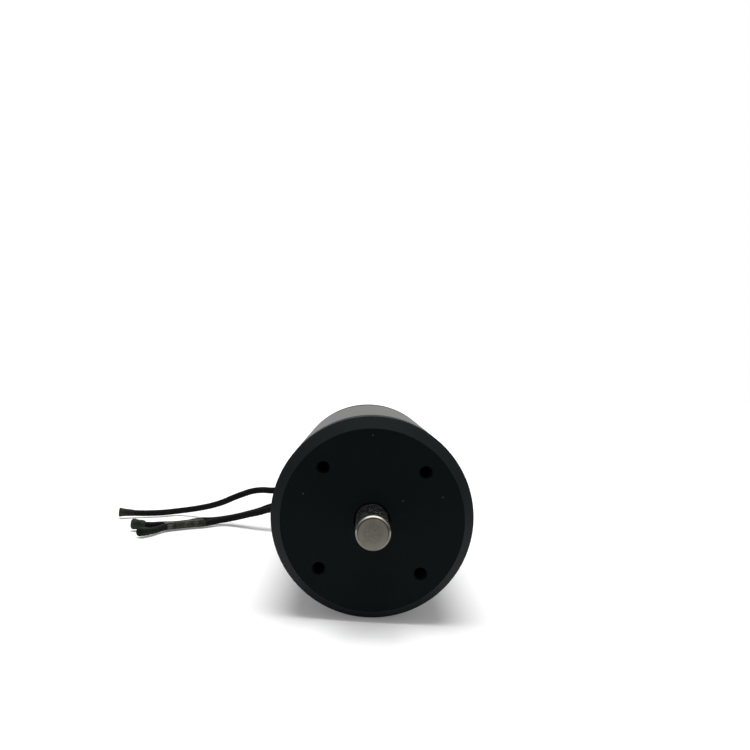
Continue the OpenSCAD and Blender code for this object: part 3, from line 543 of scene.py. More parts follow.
def lamination_steel():
    """Stacked stator sheets: a dark oxide line between neighbours and slightly uneven edges."""
    f = Finish("lamination_steel")
    sheet_t = 0.0005
    colour = (0.30, 0.30, 0.31)
    edge = f.math("PINGPONG", f.y / sheet_t, 0.5) * 2.0
    sheet = f.math("FLOOR", f.y / sheet_t)
    tone = f.noise(1.0, 0.0, f.vector(sheet * 7.31, 0.0, 0.0))
    burr = f.noise(3000.0, 2.0)
    base = f.mix(tone, shade(colour, 0.75), shade(colour, 1.15))
    base = f.mix((1.0 - f.mask(edge, 0.05, 0.3)) * 0.75, base, (0.05, 0.045, 0.045))
    f.bump(f.mask(edge, 0.0, 0.35) * 2.0 + tone + 0.3 * burr, 0.00003, 0.7)
    return f.done(base, 0.36 + 0.2 * burr, Metallic=0.9)


def magnet():
    """Nickel-plated magnets with a slightly pitted skin."""
    f = Finish("magnet")
    colour = (0.56, 0.545, 0.51)
    pits = f.noise(2200.0, 2.0)
    haze = f.noise(120.0, 4.0)
    base = f.mix(f.mask(haze, 0.4, 0.7), colour, shade(colour, 0.78))
    base = f.mix((1.0 - f.mask(pits, 0.28, 0.36)) * 0.6, base, shade(colour, 0.4))
    f.bump(f.mask(pits, 0.25, 0.45), 0.00003, 0.4)
    return f.done(base, 0.18 + 0.16 * haze, Metallic=1.0)


def copper_wire():
    """Enamelled round wire, wound round each tooth in even turns, with painted shade between the turns
    and a clear varnish.
    """
    f = Finish("copper_wire")
    wire_d = 0.00056
    slot_angle = math.radians(30.0)
    colour = (0.56, 0.25, 0.105)
    angle = f.math("ARCTAN2", f.z, f.x)
    from_tooth = angle - f.math("ROUND", angle / slot_angle) * slot_angle
    out = f.radius * f.math("COSINE", from_tooth)
    across = f.math("ABSOLUTE", f.radius * f.math("SINE", from_tooth))
    turn = f.math("ABSOLUTE", f.math("SINE", out * (math.pi / wire_d)))
    layer = f.math("FLOOR", out / wire_d)
    tone = f.noise(1.0, 0.0, f.vector(layer * 3.7, across * 900.0, 0.0))
    varnish = f.noise(420.0, 3.0)
    base = f.mix(tone, shade(colour, 0.74), shade(colour, 1.2))
    # Painted shade: dark lines between neighbouring turns
    base = f.mix((1.0 - f.mask(turn, 0.08, 0.4)) * 0.8, base, (0.07, 0.022, 0.010))
    f.bump(turn + 0.15 * varnish, 0.00016, 0.9)
    rough = 0.26 + 0.16 * varnish
    return f.done(base, rough, Metallic=0.85, Coat_Weight=0.35 + 0.3 * varnish)


def insulator_plastic():
    """Cream moulded plastic with glass fibre showing as fine flecks."""
    f = Finish("insulator_plastic")
    colour = (0.70, 0.66, 0.55)
    fleck = f.noise(1.0, 2.0, f.vector(f.x * 2600.0, f.y * 700.0, f.z * 1500.0))
    cloud = f.noise(90.0, 3.0)
    base = f.mix(cloud, shade(colour, 0.92), colour)
    base = f.mix(f.mask(fleck, 0.6, 0.72) * 0.35, base, (0.84, 0.82, 0.74))
    f.bump(fleck, 0.00002, 0.5)
    return f.done(base, 0.46 + 0.14 * fleck)


def moulded_rubber(name, colour, bloom, roughness):
    """Matt black rubber with a fine moulded skin and a light bloom of dust."""
    f = Finish(name)
    skin = f.noise(3800.0, 3.0)
    dust = f.noise(170.0, 5.0)
    base = f.mix(f.mask(dust, 0.5, 0.78) * bloom, colour, (0.10, 0.10, 0.095))
    base = f.mix(skin * 0.3, base, shade(colour, 0.6))
    f.bump(skin, 0.00003, 0.45)
    return f.done(base, roughness + 0.12 * dust, Specular_IOR_Level=0.35)


def seal_rubber():
    return moulded_rubber("seal_rubber", (0.022, 0.022, 0.022), 0.15, 0.58)


def grommet_rubber():
    return moulded_rubber("grommet_rubber", (0.019, 0.020, 0.020), 0.3, 0.62)


def lead_silicone():
    """Soft matt silicone sheath with faint scuffs and fine dust."""
    f = Finish("lead_silicone")
    colour = colours().sheath
    skin = f.noise(2600.0, 3.0)
    scuff = f.noise(1.0, 5.0, f.vector(f.x * 180.0, f.y * 260.0, f.z * 700.0))
    base = f.mix(f.mask(scuff, 0.52, 0.74) * 0.1, colour, (0.085, 0.085, 0.08))
    base = f.mix(skin * 0.35, base, shade(colour, 0.6))
    f.bump(skin * 0.6 + scuff * 0.8, 0.00004, 0.5)
    return f.done(base, 0.50 + 0.18 * scuff, Specular_IOR_Level=0.02)


def splice_shrink():
    return moulded_rubber("splice_shrink", (0.035, 0.036, 0.037), 0.25, 0.42)


def resin():
    """Black casting resin, glossy, with slow waves and tiny trapped bubbles."""
    f = Finish("resin")
    wave = f.noise(260.0, 2.0)
    bubble = f.node("ShaderNodeTexVoronoi", {}, {"Vector": f.place, "Scale": 1300.0}, "Distance")
    pit = 1.0 - f.mask(bubble, 0.10, 0.2)
    base = f.mix(pit * 0.6, (0.014, 0.014, 0.016), (0.04, 0.04, 0.045))
    f.bump(wave * 2.0 - pit, 0.00005, 0.5)
    return f.done(base, 0.12 + 0.2 * pit, Coat_Weight=0.4)


def tip_open():
    """Dusty greenish grey sleeve, paler at its cut mouth."""
    f = Finish("tip_open")
    colour = colours().open_tip
    worn_reach = (0.001, 0.0042)
    worn_wander = 0.0015
    crease = f.noise(1500.0, 4.0)
    patch = f.noise(420.0, 4.0)
    away = f.distance(end_place("a") @ Vector((0.0, 0.0, SLEEVE_MOUTH)))
    worn = 1.0 - f.mask(away + worn_wander * patch, *worn_reach)
    base = f.mix(worn, shade(colour, 0.12), shade(colour, 0.78))
    base = f.mix(f.mask(crease, 0.55, 0.7) * 0.4, base, shade(colour, 0.3))
    f.bump(crease + patch, 0.00009, 0.6)
    return f.done(base, 0.52 + 0.2 * crease, Specular_IOR_Level=0.2)


def tip_closed():
    """Shrunk caps with folds where they were pinched: green on lead b, nearly black on lead c."""
    f = Finish("tip_closed")
    colour = colours().closed_tip
    green_reach = (0.006, 0.009)
    fold = f.noise(1100.0, 4.0)
    patch = f.noise(380.0, 4.0)
    green = 1.0 - f.mask(f.distance(end_place("b").translation), *green_reach)
    dark = f.mix(patch, shade(colour, 0.16), shade(colour, 0.3))
    light = f.mix(f.mask(patch, 0.35, 0.7), shade(colour, 0.8), shade(colour, 1.65))
    f.bump(fold * 0.8 + patch, 0.00012, 0.7)
    return f.done(f.mix(green, dark, light), 0.46 + 0.2 * fold, Specular_IOR_Level=0.08)


def tape():
    """Thin crumpled tape: pale at its left end, elsewhere dark where the leads show through."""
    f = Finish("tape")
    colour = colours().tape
    weave_rate = 9000.0
    wander = 0.006
    left_end_x = (-0.0895, -0.088)
    fold_x = (-0.0838, -0.083, -0.0822, -0.0814)
    cuff_x = (-0.0797, -0.0792, -0.0787, -0.0782)
    crumple = f.noise(330.0, 4.0)
    blotch = f.noise(150.0, 3.0)
    weave = f.math("SINE", f.x * weave_rate) * f.math("SINE", f.y * weave_rate)
    pale = f.mask(0.55 * blotch + 0.45 * crumple, 0.44, 0.58)
    along = f.x + wander * (crumple - 0.5)
    left = 1.0 - f.mask(along, *left_end_x)
    fold = f.band(along, *fold_x)
    cuff = f.band(along, *cuff_x)
    olive = f.mix(f.mask(blotch, 0.35, 0.65), (0.008, 0.009, 0.008), (0.028, 0.027, 0.015))
    base = f.mix(pale * 0.3, olive, shade(colour, 0.2))
    base = f.mix(left * 0.8, base, f.mix(crumple, shade(colour, 0.25), shade(colour, 0.85)))
    base = f.mix(f.math("MAXIMUM", fold, cuff) * 0.45, base, shade(colour, 0.45))
    f.bump(crumple * 3.0 + weave * 0.05, 0.00012, 0.8)
    rough = 0.36 + 0.3 * crumple
    return f.done(base, rough, Alpha=0.85 + 0.15 * pale, Specular_IOR_Level=0.12)


def tinned_strand():
    """Tinned copper strands of the open lead's end."""
    f = Finish("tinned_strand")
    worn = f.noise(1800.0, 3.0)
    base = f.mix(f.mask(worn, 0.5, 0.7), (0.55, 0.54, 0.50), (0.52, 0.27, 0.13))
    f.bump(worn, 0.00002, 0.5)
    return f.done(base, 0.3 + 0.15 * worn, Metallic=1.0)


FINISHES = (
    cover_anodised, tube_anodised, shaft_steel, bearing_steel, bolt_steel, spring_steel,
    lamination_steel, rotor_steel, magnet, sleeve_steel, balance_brass, copper_wire,
    insulator_plastic, cage_steel, seal_rubber, grommet_rubber, resin, lead_silicone,
    splice_shrink, tip_open, tip_closed, tape, tinned_strand,
)


def finish_named(name):
    """The finish of that name, made the first time it is asked for."""
    maker = {finish.__name__: finish for finish in FINISHES}[name]
    return bpy.data.materials.get(f"{name}_finish") or maker()


def add_piece(name, data, finish, replaces=()):
    """Links a new piece to the housing and gives it its finish."""
    piece = bpy.data.objects.new(name, data)
    bpy.context.scene.collection.objects.link(piece)
    data.materials.append(finish_named(finish))
    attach(piece, "housing")
    if replaces:
        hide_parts(*replaces)
    return piece


def mesh_from(bm, name, sharp_angle=40.0):
    """Finished mesh of a bmesh: normals outwards, smooth but where it bends by the angle."""
    bmesh.ops.remove_doubles(bm, verts=bm.verts, dist=1e-7)
    bmesh.ops.recalc_face_normals(bm, faces=bm.faces)
    for face in bm.faces:
        face.smooth = True
    for edge in bm.edges:
        edge.smooth = edge.calc_face_angle(0.0) < math.radians(sharp_angle)
    mesh = bpy.data.meshes.new(name)
    bm.to_mesh(mesh)
    bm.free()
    return mesh


def exit_place(letter, y):
    """Centre of a lead in the rear cover, at the given distance behind the mounting face."""
    angle = LEAD_EXIT_ANGLES[letter]
    return Vector((LEAD_CIRCLE_R * math.cos(angle), y, LEAD_CIRCLE_R * math.sin(angle)))


def free_route(letter):
    """Points of a lead from its rubber sleeve to its end."""
    behind = Vector((0.0, REAR_FACE_Y, 0.0))
    start = exit_place(letter, GROMMET_NOSE_Y)
    return [start] + [Vector(point) + behind for point in LEADS[letter]]


def end_place(letter):
    """Matrix that puts a piece built along Z onto a lead's end, pointing onwards."""
    before, end = free_route(letter)[-2:]
    turn = (end - before).to_track_quat("Z", "Y")
    return Matrix.Translation(end) @ turn.to_matrix().to_4x4()


def spun(bm, outline, steps):
    """Closed solid of revolution about Z from points of (radius, height)."""
    verts = [bm.verts.new((radius, 0.0, height)) for radius, height in outline]
    edges = [bm.edges.new(pair) for pair in zip(verts, verts[1:] + verts[:1])]
    bmesh.ops.spin(
        bm, geom=verts + edges, cent=(0, 0, 0), axis=(0, 0, 1), dvec=(0, 0, 0),
        angle=2 * math.pi, steps=steps, use_merge=True, use_duplicate=False,
    )
    bmesh.ops.remove_doubles(bm, verts=bm.verts, dist=1e-7)
    loose = [edge for edge in bm.edges if not edge.link_faces]
    bmesh.ops.delete(bm, geom=loose, context="EDGES")


def merge(bm, part):
    """Adds one bmesh to another and frees it."""
    mesh = bpy.data.meshes.new("part")
    part.to_mesh(mesh)
    part.free()
    bm.from_mesh(mesh)
    bpy.data.meshes.remove(mesh)


def rest_on_floor(verts):
    """Flattens what would reach below the surface that the leads lie on."""
    for vert in verts:
        vert.co.z = max(vert.co.z, FLOOR_Z + REST_GAP)


class MOTOR_OT_stage(bpy.types.Operator):
    """Add the camera, the soft light, the pale floor and the room that steel reflects"""

    bl_idname = "motor.stage"
    bl_label = "Stage"

    # Least distance from the lens at which anything is seen
    nearest = 0.005

    # Where the room grows bright, by the parts of the direction looked in: beyond the motor,
    # high up, and straight above. The high part leans away from the camera.
    beyond_y = (0.35, 0.95)
    high_z = (0.15, 0.95)
    high_lean = 0.6
    above_z = (0.75, 0.95)

    def execute(self, context):
        stage = context.scene.motor_stage
        self.add_camera(context, stage)
        self.add_key_light(context, stage)
        self.add_floor(context, stage)
        self.set_world(context, stage)
        context.scene.view_settings.view_transform = "Standard"
        return {"FINISHED"}

    def add_camera(self, context, stage):
        """Camera turned by its yaw, then its pitch, then its roll."""
        yaw, pitch, roll = stage.camera_turn
        forward = Vector((
            math.sin(yaw) * math.cos(pitch), math.cos(yaw) * math.cos(pitch), -math.sin(pitch),
        ))
        level = Vector((math.cos(yaw), -math.sin(yaw), 0.0))
        above = level.cross(forward)
        right = level * math.cos(roll) + above * math.sin(roll)
        up = above * math.cos(roll) - level * math.sin(roll)
        lens = bpy.data.cameras.new("camera")
        lens.sensor_width = 36.0
        lens.lens = stage.lens
        lens.shift_x, lens.shift_y = stage.lens_shift
        lens.clip_start = self.nearest
        camera = bpy.data.objects.new("camera", lens)
        turn = Matrix((right, up, -forward)).transposed().to_4x4()
        camera.matrix_world = Matrix.Translation(stage.camera_place) @ turn
        context.scene.collection.objects.link(camera)
        context.scene.camera = camera

    def add_key_light(self, context, stage):
        """Wide soft light from above, which polished pieces don't mirror."""
        light = bpy.data.lights.new("key_light", "SUN")
        light.energy = stage.key_level
        light.angle = stage.key_softness
        key = bpy.data.objects.new("key_light", light)
        key.rotation_euler = stage.key_turn
        key.visible_glossy = False
        context.scene.collection.objects.link(key)

    def add_floor(self, context, stage):
        """Pale floor that keeps the motor's shadow and looks white elsewhere."""
        bm = bmesh.new()
        bmesh.ops.create_grid(bm, x_segments=1, y_segments=1, size=FLOOR_HALF)
        place = (0.0, FLOOR_HALF - FLOOR_FRONT, FLOOR_Z - FLOOR_GAP)
        bmesh.ops.translate(bm, verts=bm.verts, vec=place)
        mesh = bpy.data.meshes.new("floor")
        bm.to_mesh(mesh)
        bm.free()
        floor = bpy.data.objects.new("floor", mesh)
        context.scene.collection.objects.link(floor)
        f = Finish("floor")
        f.done((0.95, 0.95, 0.95, 1.0), 0.9, Specular_IOR_Level=0.0)
        seen = f.math("MAXIMUM", f.ray("Is Camera Ray"), f.mirrored())
        lift = {"Color": (1.0, 1.0, 1.0, 1.0), "Strength": seen * stage.floor_glow}
        glow = f.node("ShaderNodeEmission", {}, lift)
        both = f.node("ShaderNodeAddShader", {}, {0: Signal(f, f.shader.outputs[0]), 1: glow})
        f.tree.links.new(both.socket, f.tree.nodes["Material Output"].inputs["Surface"])
        mesh.materials.append(f.material)

    def set_world(self, context, stage):
        """White to the camera, even as a light, and a room with a dark camera side to mirrors."""
        world = bpy.data.worlds.new("studio")
        world.use_nodes = True
        context.scene.world = world
        f = Nodes(world.node_tree)
        y, z = f.parts(f.node("ShaderNodeTexCoord", output="Generated"))[1:]
        beyond = f.mask(y, *self.beyond_y)
        high = f.mask(z + self.high_lean * y, *self.high_z)
        above = f.mask(z, *self.above_z)
        room = stage.front_level + (1.0 - stage.front_level) * f.math("MAXIMUM", beyond, high)
        room = room + stage.overhead_level * above
        reflected = f.mirrored()
        lit = reflected * room + (1.0 - reflected) * stage.fill_level
        camera = f.ray("Is Camera Ray")
        strength = camera + (1.0 - camera) * lit
        background = f.tree.nodes["Background"].inputs
        background["Color"].default_value = (1.0, 1.0, 1.0, 1.0)
        f.tree.links.new(strength.socket, background["Strength"])


class MOTOR_OT_leads(bpy.types.Operator):
    """Add the three free leads and their hidden inner stretches"""

    bl_idname = "motor.leads"
    bl_label = "Leads"

    # Stretch over which a lead leaves its rubber sleeve straight, length of its bare inner end,
    # and that end's share of the lead's thickness
    straight = 0.0025
    bare = 0.003
    core_share = 0.55

    def execute(self, context):
        for letter in LEADS:
            self.add_lead(letter)
        self.add_inner_stretches()
        return {"FINISHED"}

    def add_lead(self, letter):
        points = free_route(letter)
        line = bpy.data.curves.new(f"lead_{letter}_line", "CURVE")
        line.dimensions = "3D"
        line.resolution_u = 10
        line.bevel_depth = sizes().lead_d / 2
        line.bevel_resolution = 6
        line.use_fill_caps = True
        spline = line.splines.new("BEZIER")
        spline.bezier_points.add(len(points) - 1)
        for knot, point in zip(spline.bezier_points, points):
            knot.co = point
            knot.handle_left_type = "AUTO"
            knot.handle_right_type = "AUTO"
        first = spline.bezier_points[0]
        first.handle_left_type = "FREE"
        first.handle_right_type = "FREE"
        first.handle_left = points[0] - Vector((0.0, self.straight, 0.0))
        first.handle_right = points[0] + Vector((0.0, self.straight, 0.0))
        add_piece(f"free_lead_{letter}", line, "lead_silicone", replaces=[f"lead_{letter}"])

    def add_inner_stretches(self):
        """Each lead's sheath inside the rear cover, with its bare conductor at the front."""
        bm = bmesh.new()
        radius = sizes().lead_d / 2
        core_r = radius * self.core_share
        length = GROMMET_NOSE_Y - LEAD_START_Y
        outline = [
            (0.0, 0.0), (core_r, 0.0), (core_r, self.bare), (radius, self.bare),
            (radius, length), (0.0, length),
        ]
        backwards = Matrix.Rotation(math.radians(-90.0), 4, "X")
        for letter in LEADS:
            part = bmesh.new()
            spun(part, outline, 32)
            place = Matrix.Translation(exit_place(letter, LEAD_START_Y)) @ backwards
            bmesh.ops.transform(part, matrix=place, verts=part.verts)
            merge(bm, part)
        add_piece("lead_inner_stretches", mesh_from(bm, "lead_inner_stretches"), "lead_silicone",
                  replaces=["lead_a", "lead_b", "lead_c"])


class MOTOR_OT_lead_tips(bpy.types.Operator):
    """Add the closed caps on two leads and the open sleeve with its strands on the third"""

    bl_idname = "motor.lead_tips"
    bl_label = "Lead tips"

    def execute(self, context):
        for letter, cap in CAPS.items():
            self.add_cap(letter, *cap)
        self.add_sleeve("a")
        self.add_strands("a")
        return {"FINISHED"}

    def add_cap(self, letter, length, tip_r, pinch, lumps_from):
        """Shrunk cap: snug on the sheath, swollen past the lead's end and pinched shut."""
        grip = TIP_GRIP
        lead_r = sizes().lead_d / 2
        snug_r = lead_r + (tip_r - lead_r) * 0.66
        # Radius and height, from the cut edge over the swollen end to the sheath's own end
        outline = [
            (lead_r, -grip), ((lead_r + snug_r) / 2, -grip), (snug_r * 0.98, -grip * 0.85),
            (snug_r, -grip * 0.35), (tip_r * 0.97, 0.0), (tip_r, length * 0.12),
            (tip_r * 0.98, length * 0.28 - grip * 0.1), (tip_r * 0.86, length - grip * 1.12),
            (tip_r * 0.6, length - grip * 1.02), (0.0, length - grip), (0.0, 0.0), (lead_r, 0.0),
        ]
        bm = bmesh.new()
        spun(bm, outline, 48)
        bmesh.ops.subdivide_edges(bm, edges=bm.edges, cuts=2, use_grid_fill=True)
        for vert in bm.verts:
            height = (vert.co.z + grip) / length
            swell = max(0.0, min(1.0, height * 1.6 - 0.3))
            lump = noise.noise(vert.co * 700.0 + Vector((lumps_from, 0.0, 0.0)))
            if math.hypot(vert.co.x, vert.co.y) > lead_r * 1.05:
                vert.co.x *= 1.0 + 0.08 * lump
                vert.co.y *= (1.0 + 0.08 * lump) * (1.0 - pinch * swell)
        bmesh.ops.transform(bm, matrix=end_place(letter), verts=bm.verts)
        rest_on_floor(bm.verts)
        add_piece(f"cap_{letter}", mesh_from(bm, f"cap_{letter}"), "tip_closed",
                  replaces=[f"tip_{letter}"])

    def add_sleeve(self, letter):
        """Open sleeve whose mouth flares and is cut a little askew."""
        grip = TIP_GRIP
        mouth = SLEEVE_MOUTH
        lead_r = sizes().lead_d / 2
        wall = 0.0003
        flare = 0.00045
        # Radius and height, up the outside to the mouth and down the inside to the sheath's end
        outline = [
            (lead_r, -grip), (lead_r + wall * 0.3, -grip), (lead_r + wall * 0.7, -grip * 0.4),
            (lead_r + wall * 1.1, 0.0), (lead_r + wall + flare * 0.5, mouth * 0.6),
            (lead_r + wall + flare, mouth), (lead_r + flare, mouth), (lead_r, 0.0),
        ]
        bm = bmesh.new()
        spun(bm, outline, 48)
        bmesh.ops.subdivide_edges(bm, edges=bm.edges, cuts=1, use_grid_fill=True)
        for vert in bm.verts:
            if vert.co.z > 0.0:
                share = vert.co.z / mouth
                lump = noise.noise(vert.co * 900.0)
                vert.co.x *= 1.0 + 0.07 * lump * share
                vert.co.y *= 1.0 + 0.07 * lump * share
                vert.co.z += share * vert.co.x * 0.12
        bmesh.ops.transform(bm, matrix=end_place(letter), verts=bm.verts)
        rest_on_floor(bm.verts)
        add_piece("open_sleeve", mesh_from(bm, "open_sleeve"), "tip_open", replaces=["tip_a"])

    def add_strands(self, letter):
        """Short cut strands in the middle of the sheath's end."""
        strand_r = 0.00026
        reach = 0.0007
        bm = bmesh.new()
        count = sizes().strands
        places = [(0.0, 0.0)]
        for i in range(count):
            angle = 2 * math.pi * i / count
            places.append((2 * strand_r * math.cos(angle), 2 * strand_r * math.sin(angle)))
        for x, y in places:
            part = bmesh.new()
            top = reach * (0.85 + 0.15 * noise.noise(Vector((x, y, 0.0)) * 5000.0))
            spun(part, [(0.0, -reach), (strand_r, -reach), (strand_r, top * 0.8),
                        (strand_r * 0.7, top), (0.0, top)], 12)
            bmesh.ops.translate(part, verts=part.verts, vec=(x, y, 0.0))
            merge(bm, part)
        bmesh.ops.transform(bm, matrix=end_place(letter), verts=bm.verts)
        add_piece("lead_strands", mesh_from(bm, "lead_strands"), "tinned_strand")


def taped_point(letter, share):
    """Point on a lead, counted in spans from where its tape begins."""
    points = free_route(letter)
    before_route = len(points) - len(LEADS[letter])
    return route_point(points, TAPE_FIRST[letter] + before_route + share)


def route_point(points, share):
    """Point on a smooth line through the given points, counted in spans from the first."""
    span = min(int(share), len(points) - 2)
    t = share - span
    before, start, end, after = (
        points[max(0, min(len(points) - 1, i))] for i in range(span - 1, span + 3)
    )
    return 0.5 * (
        2 * start + (end - before) * t + (2 * before - 5 * start + 4 * end - after) * t * t
        + (3 * start - before - 3 * end + after) * t ** 3
    )


class MOTOR_OT_lead_tape(bpy.types.Operator):
    """Wind the crumpled tape round two of the leads"""

    bl_idname = "motor.lead_tape"
    bl_label = "Lead tape"

    # Spans along the tape, points round it, its play on the leads, and half the stretch of
    # route, in spans, whose direction a ring takes
    stations = 64
    around = 56
    play = 0.00004
    half_stretch = 0.05

    def execute(self, context):
        bm = bmesh.new()
        bmesh.ops.create_circle(
            bm, cap_ends=False, segments=self.around, radius=sizes().lead_d / 2,
        )
        ring = sorted(bm.verts, key=lambda vert: math.atan2(vert.co.y, vert.co.x))
        last = TAPE_POINTS - 1
        for i in range(self.stations + 1):
            share = last * i / self.stations
            if i:
                ring = next_ring(bm, ring)
            b = taped_point("b", share)
            c = taped_point("c", share)
            ahead = taped_point("b", min(share + self.half_stretch, last))
            back = taped_point("b", max(share - self.half_stretch, 0.0))
            across = (c - b).normalized()
            up = (ahead - back).cross(across).normalized()
            self.shape_ring(ring, (b + c) / 2, across, up, (c - b).length / 2)
        bmesh.ops.recalc_face_normals(bm, faces=bm.faces)
        bmesh.ops.solidify(bm, geom=bm.faces[:], thickness=sizes().tape_t)
        rest_on_floor(bm.verts)
        add_piece("crumpled_tape", mesh_from(bm, "crumpled_tape", sharp_angle=60.0), "tape",
                  replaces=["lead_tape"])
        return {"FINISHED"}

    def shape_ring(self, ring, middle, across, up, half_gap):
        """Lays one ring of the tape round both leads, with creases and a sunk waist."""
        radius = sizes().lead_d / 2 + self.play
        for k, vert in enumerate(ring):
            angle = 2 * math.pi * k / self.around
            side = max(-1.0, min(1.0, math.cos(angle) * 1.6))
            waist = 1.0 - 0.16 * (1.0 - abs(side))
            flat = side * half_gap + math.cos(angle) * radius
            height = math.sin(angle) * radius * waist
            point = middle + across * flat + up * height
            crease = noise.noise(point * 620.0) + 0.6 * noise.noise(point * 1500.0)
            outward = (across * math.cos(angle) + up * math.sin(angle)).normalized()
            rise = sizes().tape_crinkle * max(0.0, 0.35 + crease)
            vert.co = point + outward * rise


def next_ring(bm, ring):
    """Extrudes an ordered ring of vertices and returns the new ring in the same order."""
    loop = set(ring)
    edges = [edge for edge in bm.edges if edge.verts[0] in loop and edge.verts[1] in loop]
    made = bmesh.ops.extrude_edge_only(bm, edges=edges)["geom"]
    new = {item for item in made if isinstance(item, bmesh.types.BMVert)}
    return [
        next(edge.other_vert(vert) for edge in vert.link_edges if edge.other_vert(vert) in new)
        for vert in ring
    ]


class MOTOR_OT_hole_threads(bpy.types.Operator):
    """Add the thread ridges in the four mounting holes"""

    bl_idname = "motor.hole_threads"
    bl_label = "Mounting hole threads"

    # Depth of the first turn, seat of the ridge in the hole's wall, turns, and steps in a turn
    first = 0.0014
    seat = 0.00004
    turns = 11
    steps = 36

    def execute(self, context):
        pitch = sizes().thread_pitch
        outer_r = sizes().hole_d / 2 + self.seat
        inner_r = sizes().hole_d / 2 - pitch * 0.5
        ridge = [(outer_r, 0.0), (inner_r, 0.42), (inner_r, 0.5), (outer_r, 0.92)]
        bm = bmesh.new()
        for angle in HOLE_ANGLES:
            centre = Vector((math.cos(angle), 0.0, math.sin(angle))) * sizes().hole_circle_d / 2
            part = bmesh.new()
            verts = [
                part.verts.new(centre + Vector((radius, self.first + pitch * share, 0.0)))
                for radius, share in ridge
            ]
            edges = [part.edges.new(pair) for pair in zip(verts, verts[1:] + verts[:1])]
            bmesh.ops.spin(
                part, geom=verts + edges, cent=centre, axis=(0, 1, 0),
                dvec=(0, pitch / self.steps, 0), angle=2 * math.pi * self.turns,
                steps=self.steps * self.turns, use_merge=False, use_duplicate=False,
            )
            open_edges = [edge for edge in part.edges if edge.is_boundary]
            bmesh.ops.holes_fill(part, edges=open_edges, sides=0)
            merge(bm, part)
        mesh = mesh_from(bm, "hole_threads", sharp_angle=25.0)
        add_piece("hole_threads", mesh, "cover_anodised")
        return {"FINISHED"}


class DressNodes:
    """What the finish operators share: each gives its CAD nodes their finishes"""

    def execute(self, context):
        for name in self.nodes:
            node = frame["nodes"][name]
            finish = finish_named(SLOT_OF_NODE[name])
            if not node.material_slots:
                node.data.materials.append(finish)
            for place in node.material_slots:
                place.material = finish
        return {"FINISHED"}


class MOTOR_OT_housing_finish(DressNodes, bpy.types.Operator):
    """Finish the covers and the tube"""

    bl_idname = "motor.housing_finish"
    bl_label = "Housing finish"
    nodes = ("front_cover", "housing_tube", "rear_cover")


class MOTOR_OT_shaft_finish(DressNodes, bpy.types.Operator):
    """Finish the shaft"""

    bl_idname = "motor.shaft_finish"
    bl_label = "Shaft finish"
    nodes = ("shaft",)


class MOTOR_OT_seal_finish(DressNodes, bpy.types.Operator):
    """Finish the seals and the clip and spring that hold them"""

    bl_idname = "motor.seal_finish"
    bl_label = "Seal finish"
    nodes = (
        "front_sealing_ring", "rear_sealing_ring", "shaft_seal", "seal_spring", "seal_circlip",
        "bolt_seals",
    )


class MOTOR_OT_bearing_finish(DressNodes, bpy.types.Operator):
    """Finish both ball bearings, their washer and their clip"""

    bl_idname = "motor.bearing_finish"
    bl_label = "Bearing finish"
    nodes = (
        "front_outer_race", "front_shields", "front_inner_race", "front_balls", "front_cage",
        "rear_outer_race", "rear_shields", "rear_inner_race", "rear_balls", "rear_cage",
        "wave_washer", "shaft_circlip",
    )


class MOTOR_OT_stator_finish(DressNodes, bpy.types.Operator):
    """Finish the laminated core, its insulators and the coils"""

    bl_idname = "motor.stator_finish"
    bl_label = "Stator finish"
    nodes = (
        "stator_core", "front_insulator", "rear_insulator", "winding_u", "winding_v", "winding_w",
    )


class MOTOR_OT_rotor_finish(DressNodes, bpy.types.Operator):
    """Finish the rotor's core, magnets, sleeve and balance rings"""

    bl_idname = "motor.rotor_finish"
    bl_label = "Rotor finish"
    nodes = (
        "rotor_core", "rotor_magnets", "rotor_sleeve", "front_balance_ring", "rear_balance_ring",
    )


class MOTOR_OT_fastener_finish(DressNodes, bpy.types.Operator):
    """Finish the through bolts"""

    bl_idname = "motor.fastener_finish"
    bl_label = "Fastener finish"
    nodes = ("through_bolts",)


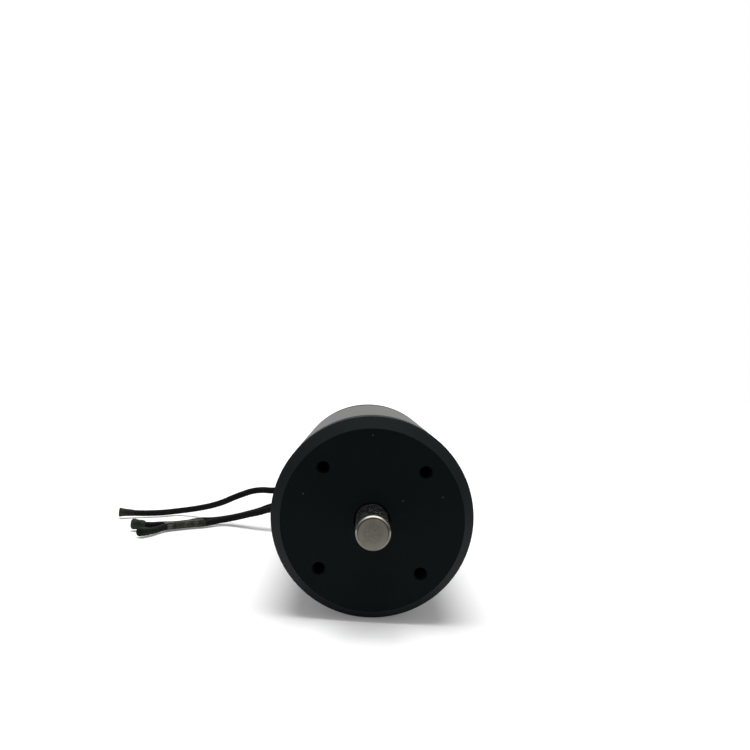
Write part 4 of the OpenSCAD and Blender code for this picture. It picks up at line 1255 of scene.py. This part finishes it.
class MOTOR_OT_lead_exit_finish(DressNodes, bpy.types.Operator):
    """Finish the rubber sleeves, resin and crimps where the leads enter the motor"""

    bl_idname = "motor.lead_exit_finish"
    bl_label = "Lead exit finish"
    nodes = ("lead_grommets", "lead_resin", "lead_splices")


class MOTOR_OT_lead_facts(bpy.types.Operator):
    """A step that does nothing"""

    bl_idname = "motor.lead_facts"
    bl_label = "Lead facts"

    def execute(self, context):
        return {"FINISHED"}


class MOTOR_PT_build(bpy.types.Panel):
    """Lists every step of the motor's build and the settings that it uses"""

    bl_idname = "MOTOR_PT_build"
    bl_label = "Underwater motor"
    bl_space_type = "VIEW_3D"
    bl_region_type = "UI"
    bl_category = "Motor"

    def draw(self, context):
        for step in STEPS:
            self.layout.operator(step.bl_idname)
        for group in GROUPS:
            box = self.layout.box()
            settings = getattr(context.scene, group)
            for name in settings.bl_rna.properties.keys():
                if name not in ("rna_type", "name"):
                    box.prop(settings, name)


STEPS = (
    MOTOR_OT_stage, MOTOR_OT_leads, MOTOR_OT_lead_tips, MOTOR_OT_lead_tape,
    MOTOR_OT_lead_facts, MOTOR_OT_hole_threads, MOTOR_OT_housing_finish,
    MOTOR_OT_shaft_finish, MOTOR_OT_seal_finish, MOTOR_OT_bearing_finish,
    MOTOR_OT_stator_finish, MOTOR_OT_rotor_finish, MOTOR_OT_fastener_finish,
    MOTOR_OT_lead_exit_finish,
)
GROUPS = {"motor_sizes": MotorSizes, "motor_colours": MotorColours, "motor_stage": MotorStage}


def register():
    for made in (*GROUPS.values(), *STEPS, MOTOR_PT_build):
        bpy.utils.register_class(made)
    for name, group in GROUPS.items():
        setattr(bpy.types.Scene, name, PointerProperty(type=group))


def unregister():
    for name in GROUPS:
        delattr(bpy.types.Scene, name)
    for made in reversed((*GROUPS.values(), *STEPS, MOTOR_PT_build)):
        bpy.utils.unregister_class(made)


def main():
    register()
    for step in STEPS:
        family, name = step.bl_idname.split(".")
        getattr(getattr(bpy.ops, family), name)()


if __name__ == "__main__":
    main()
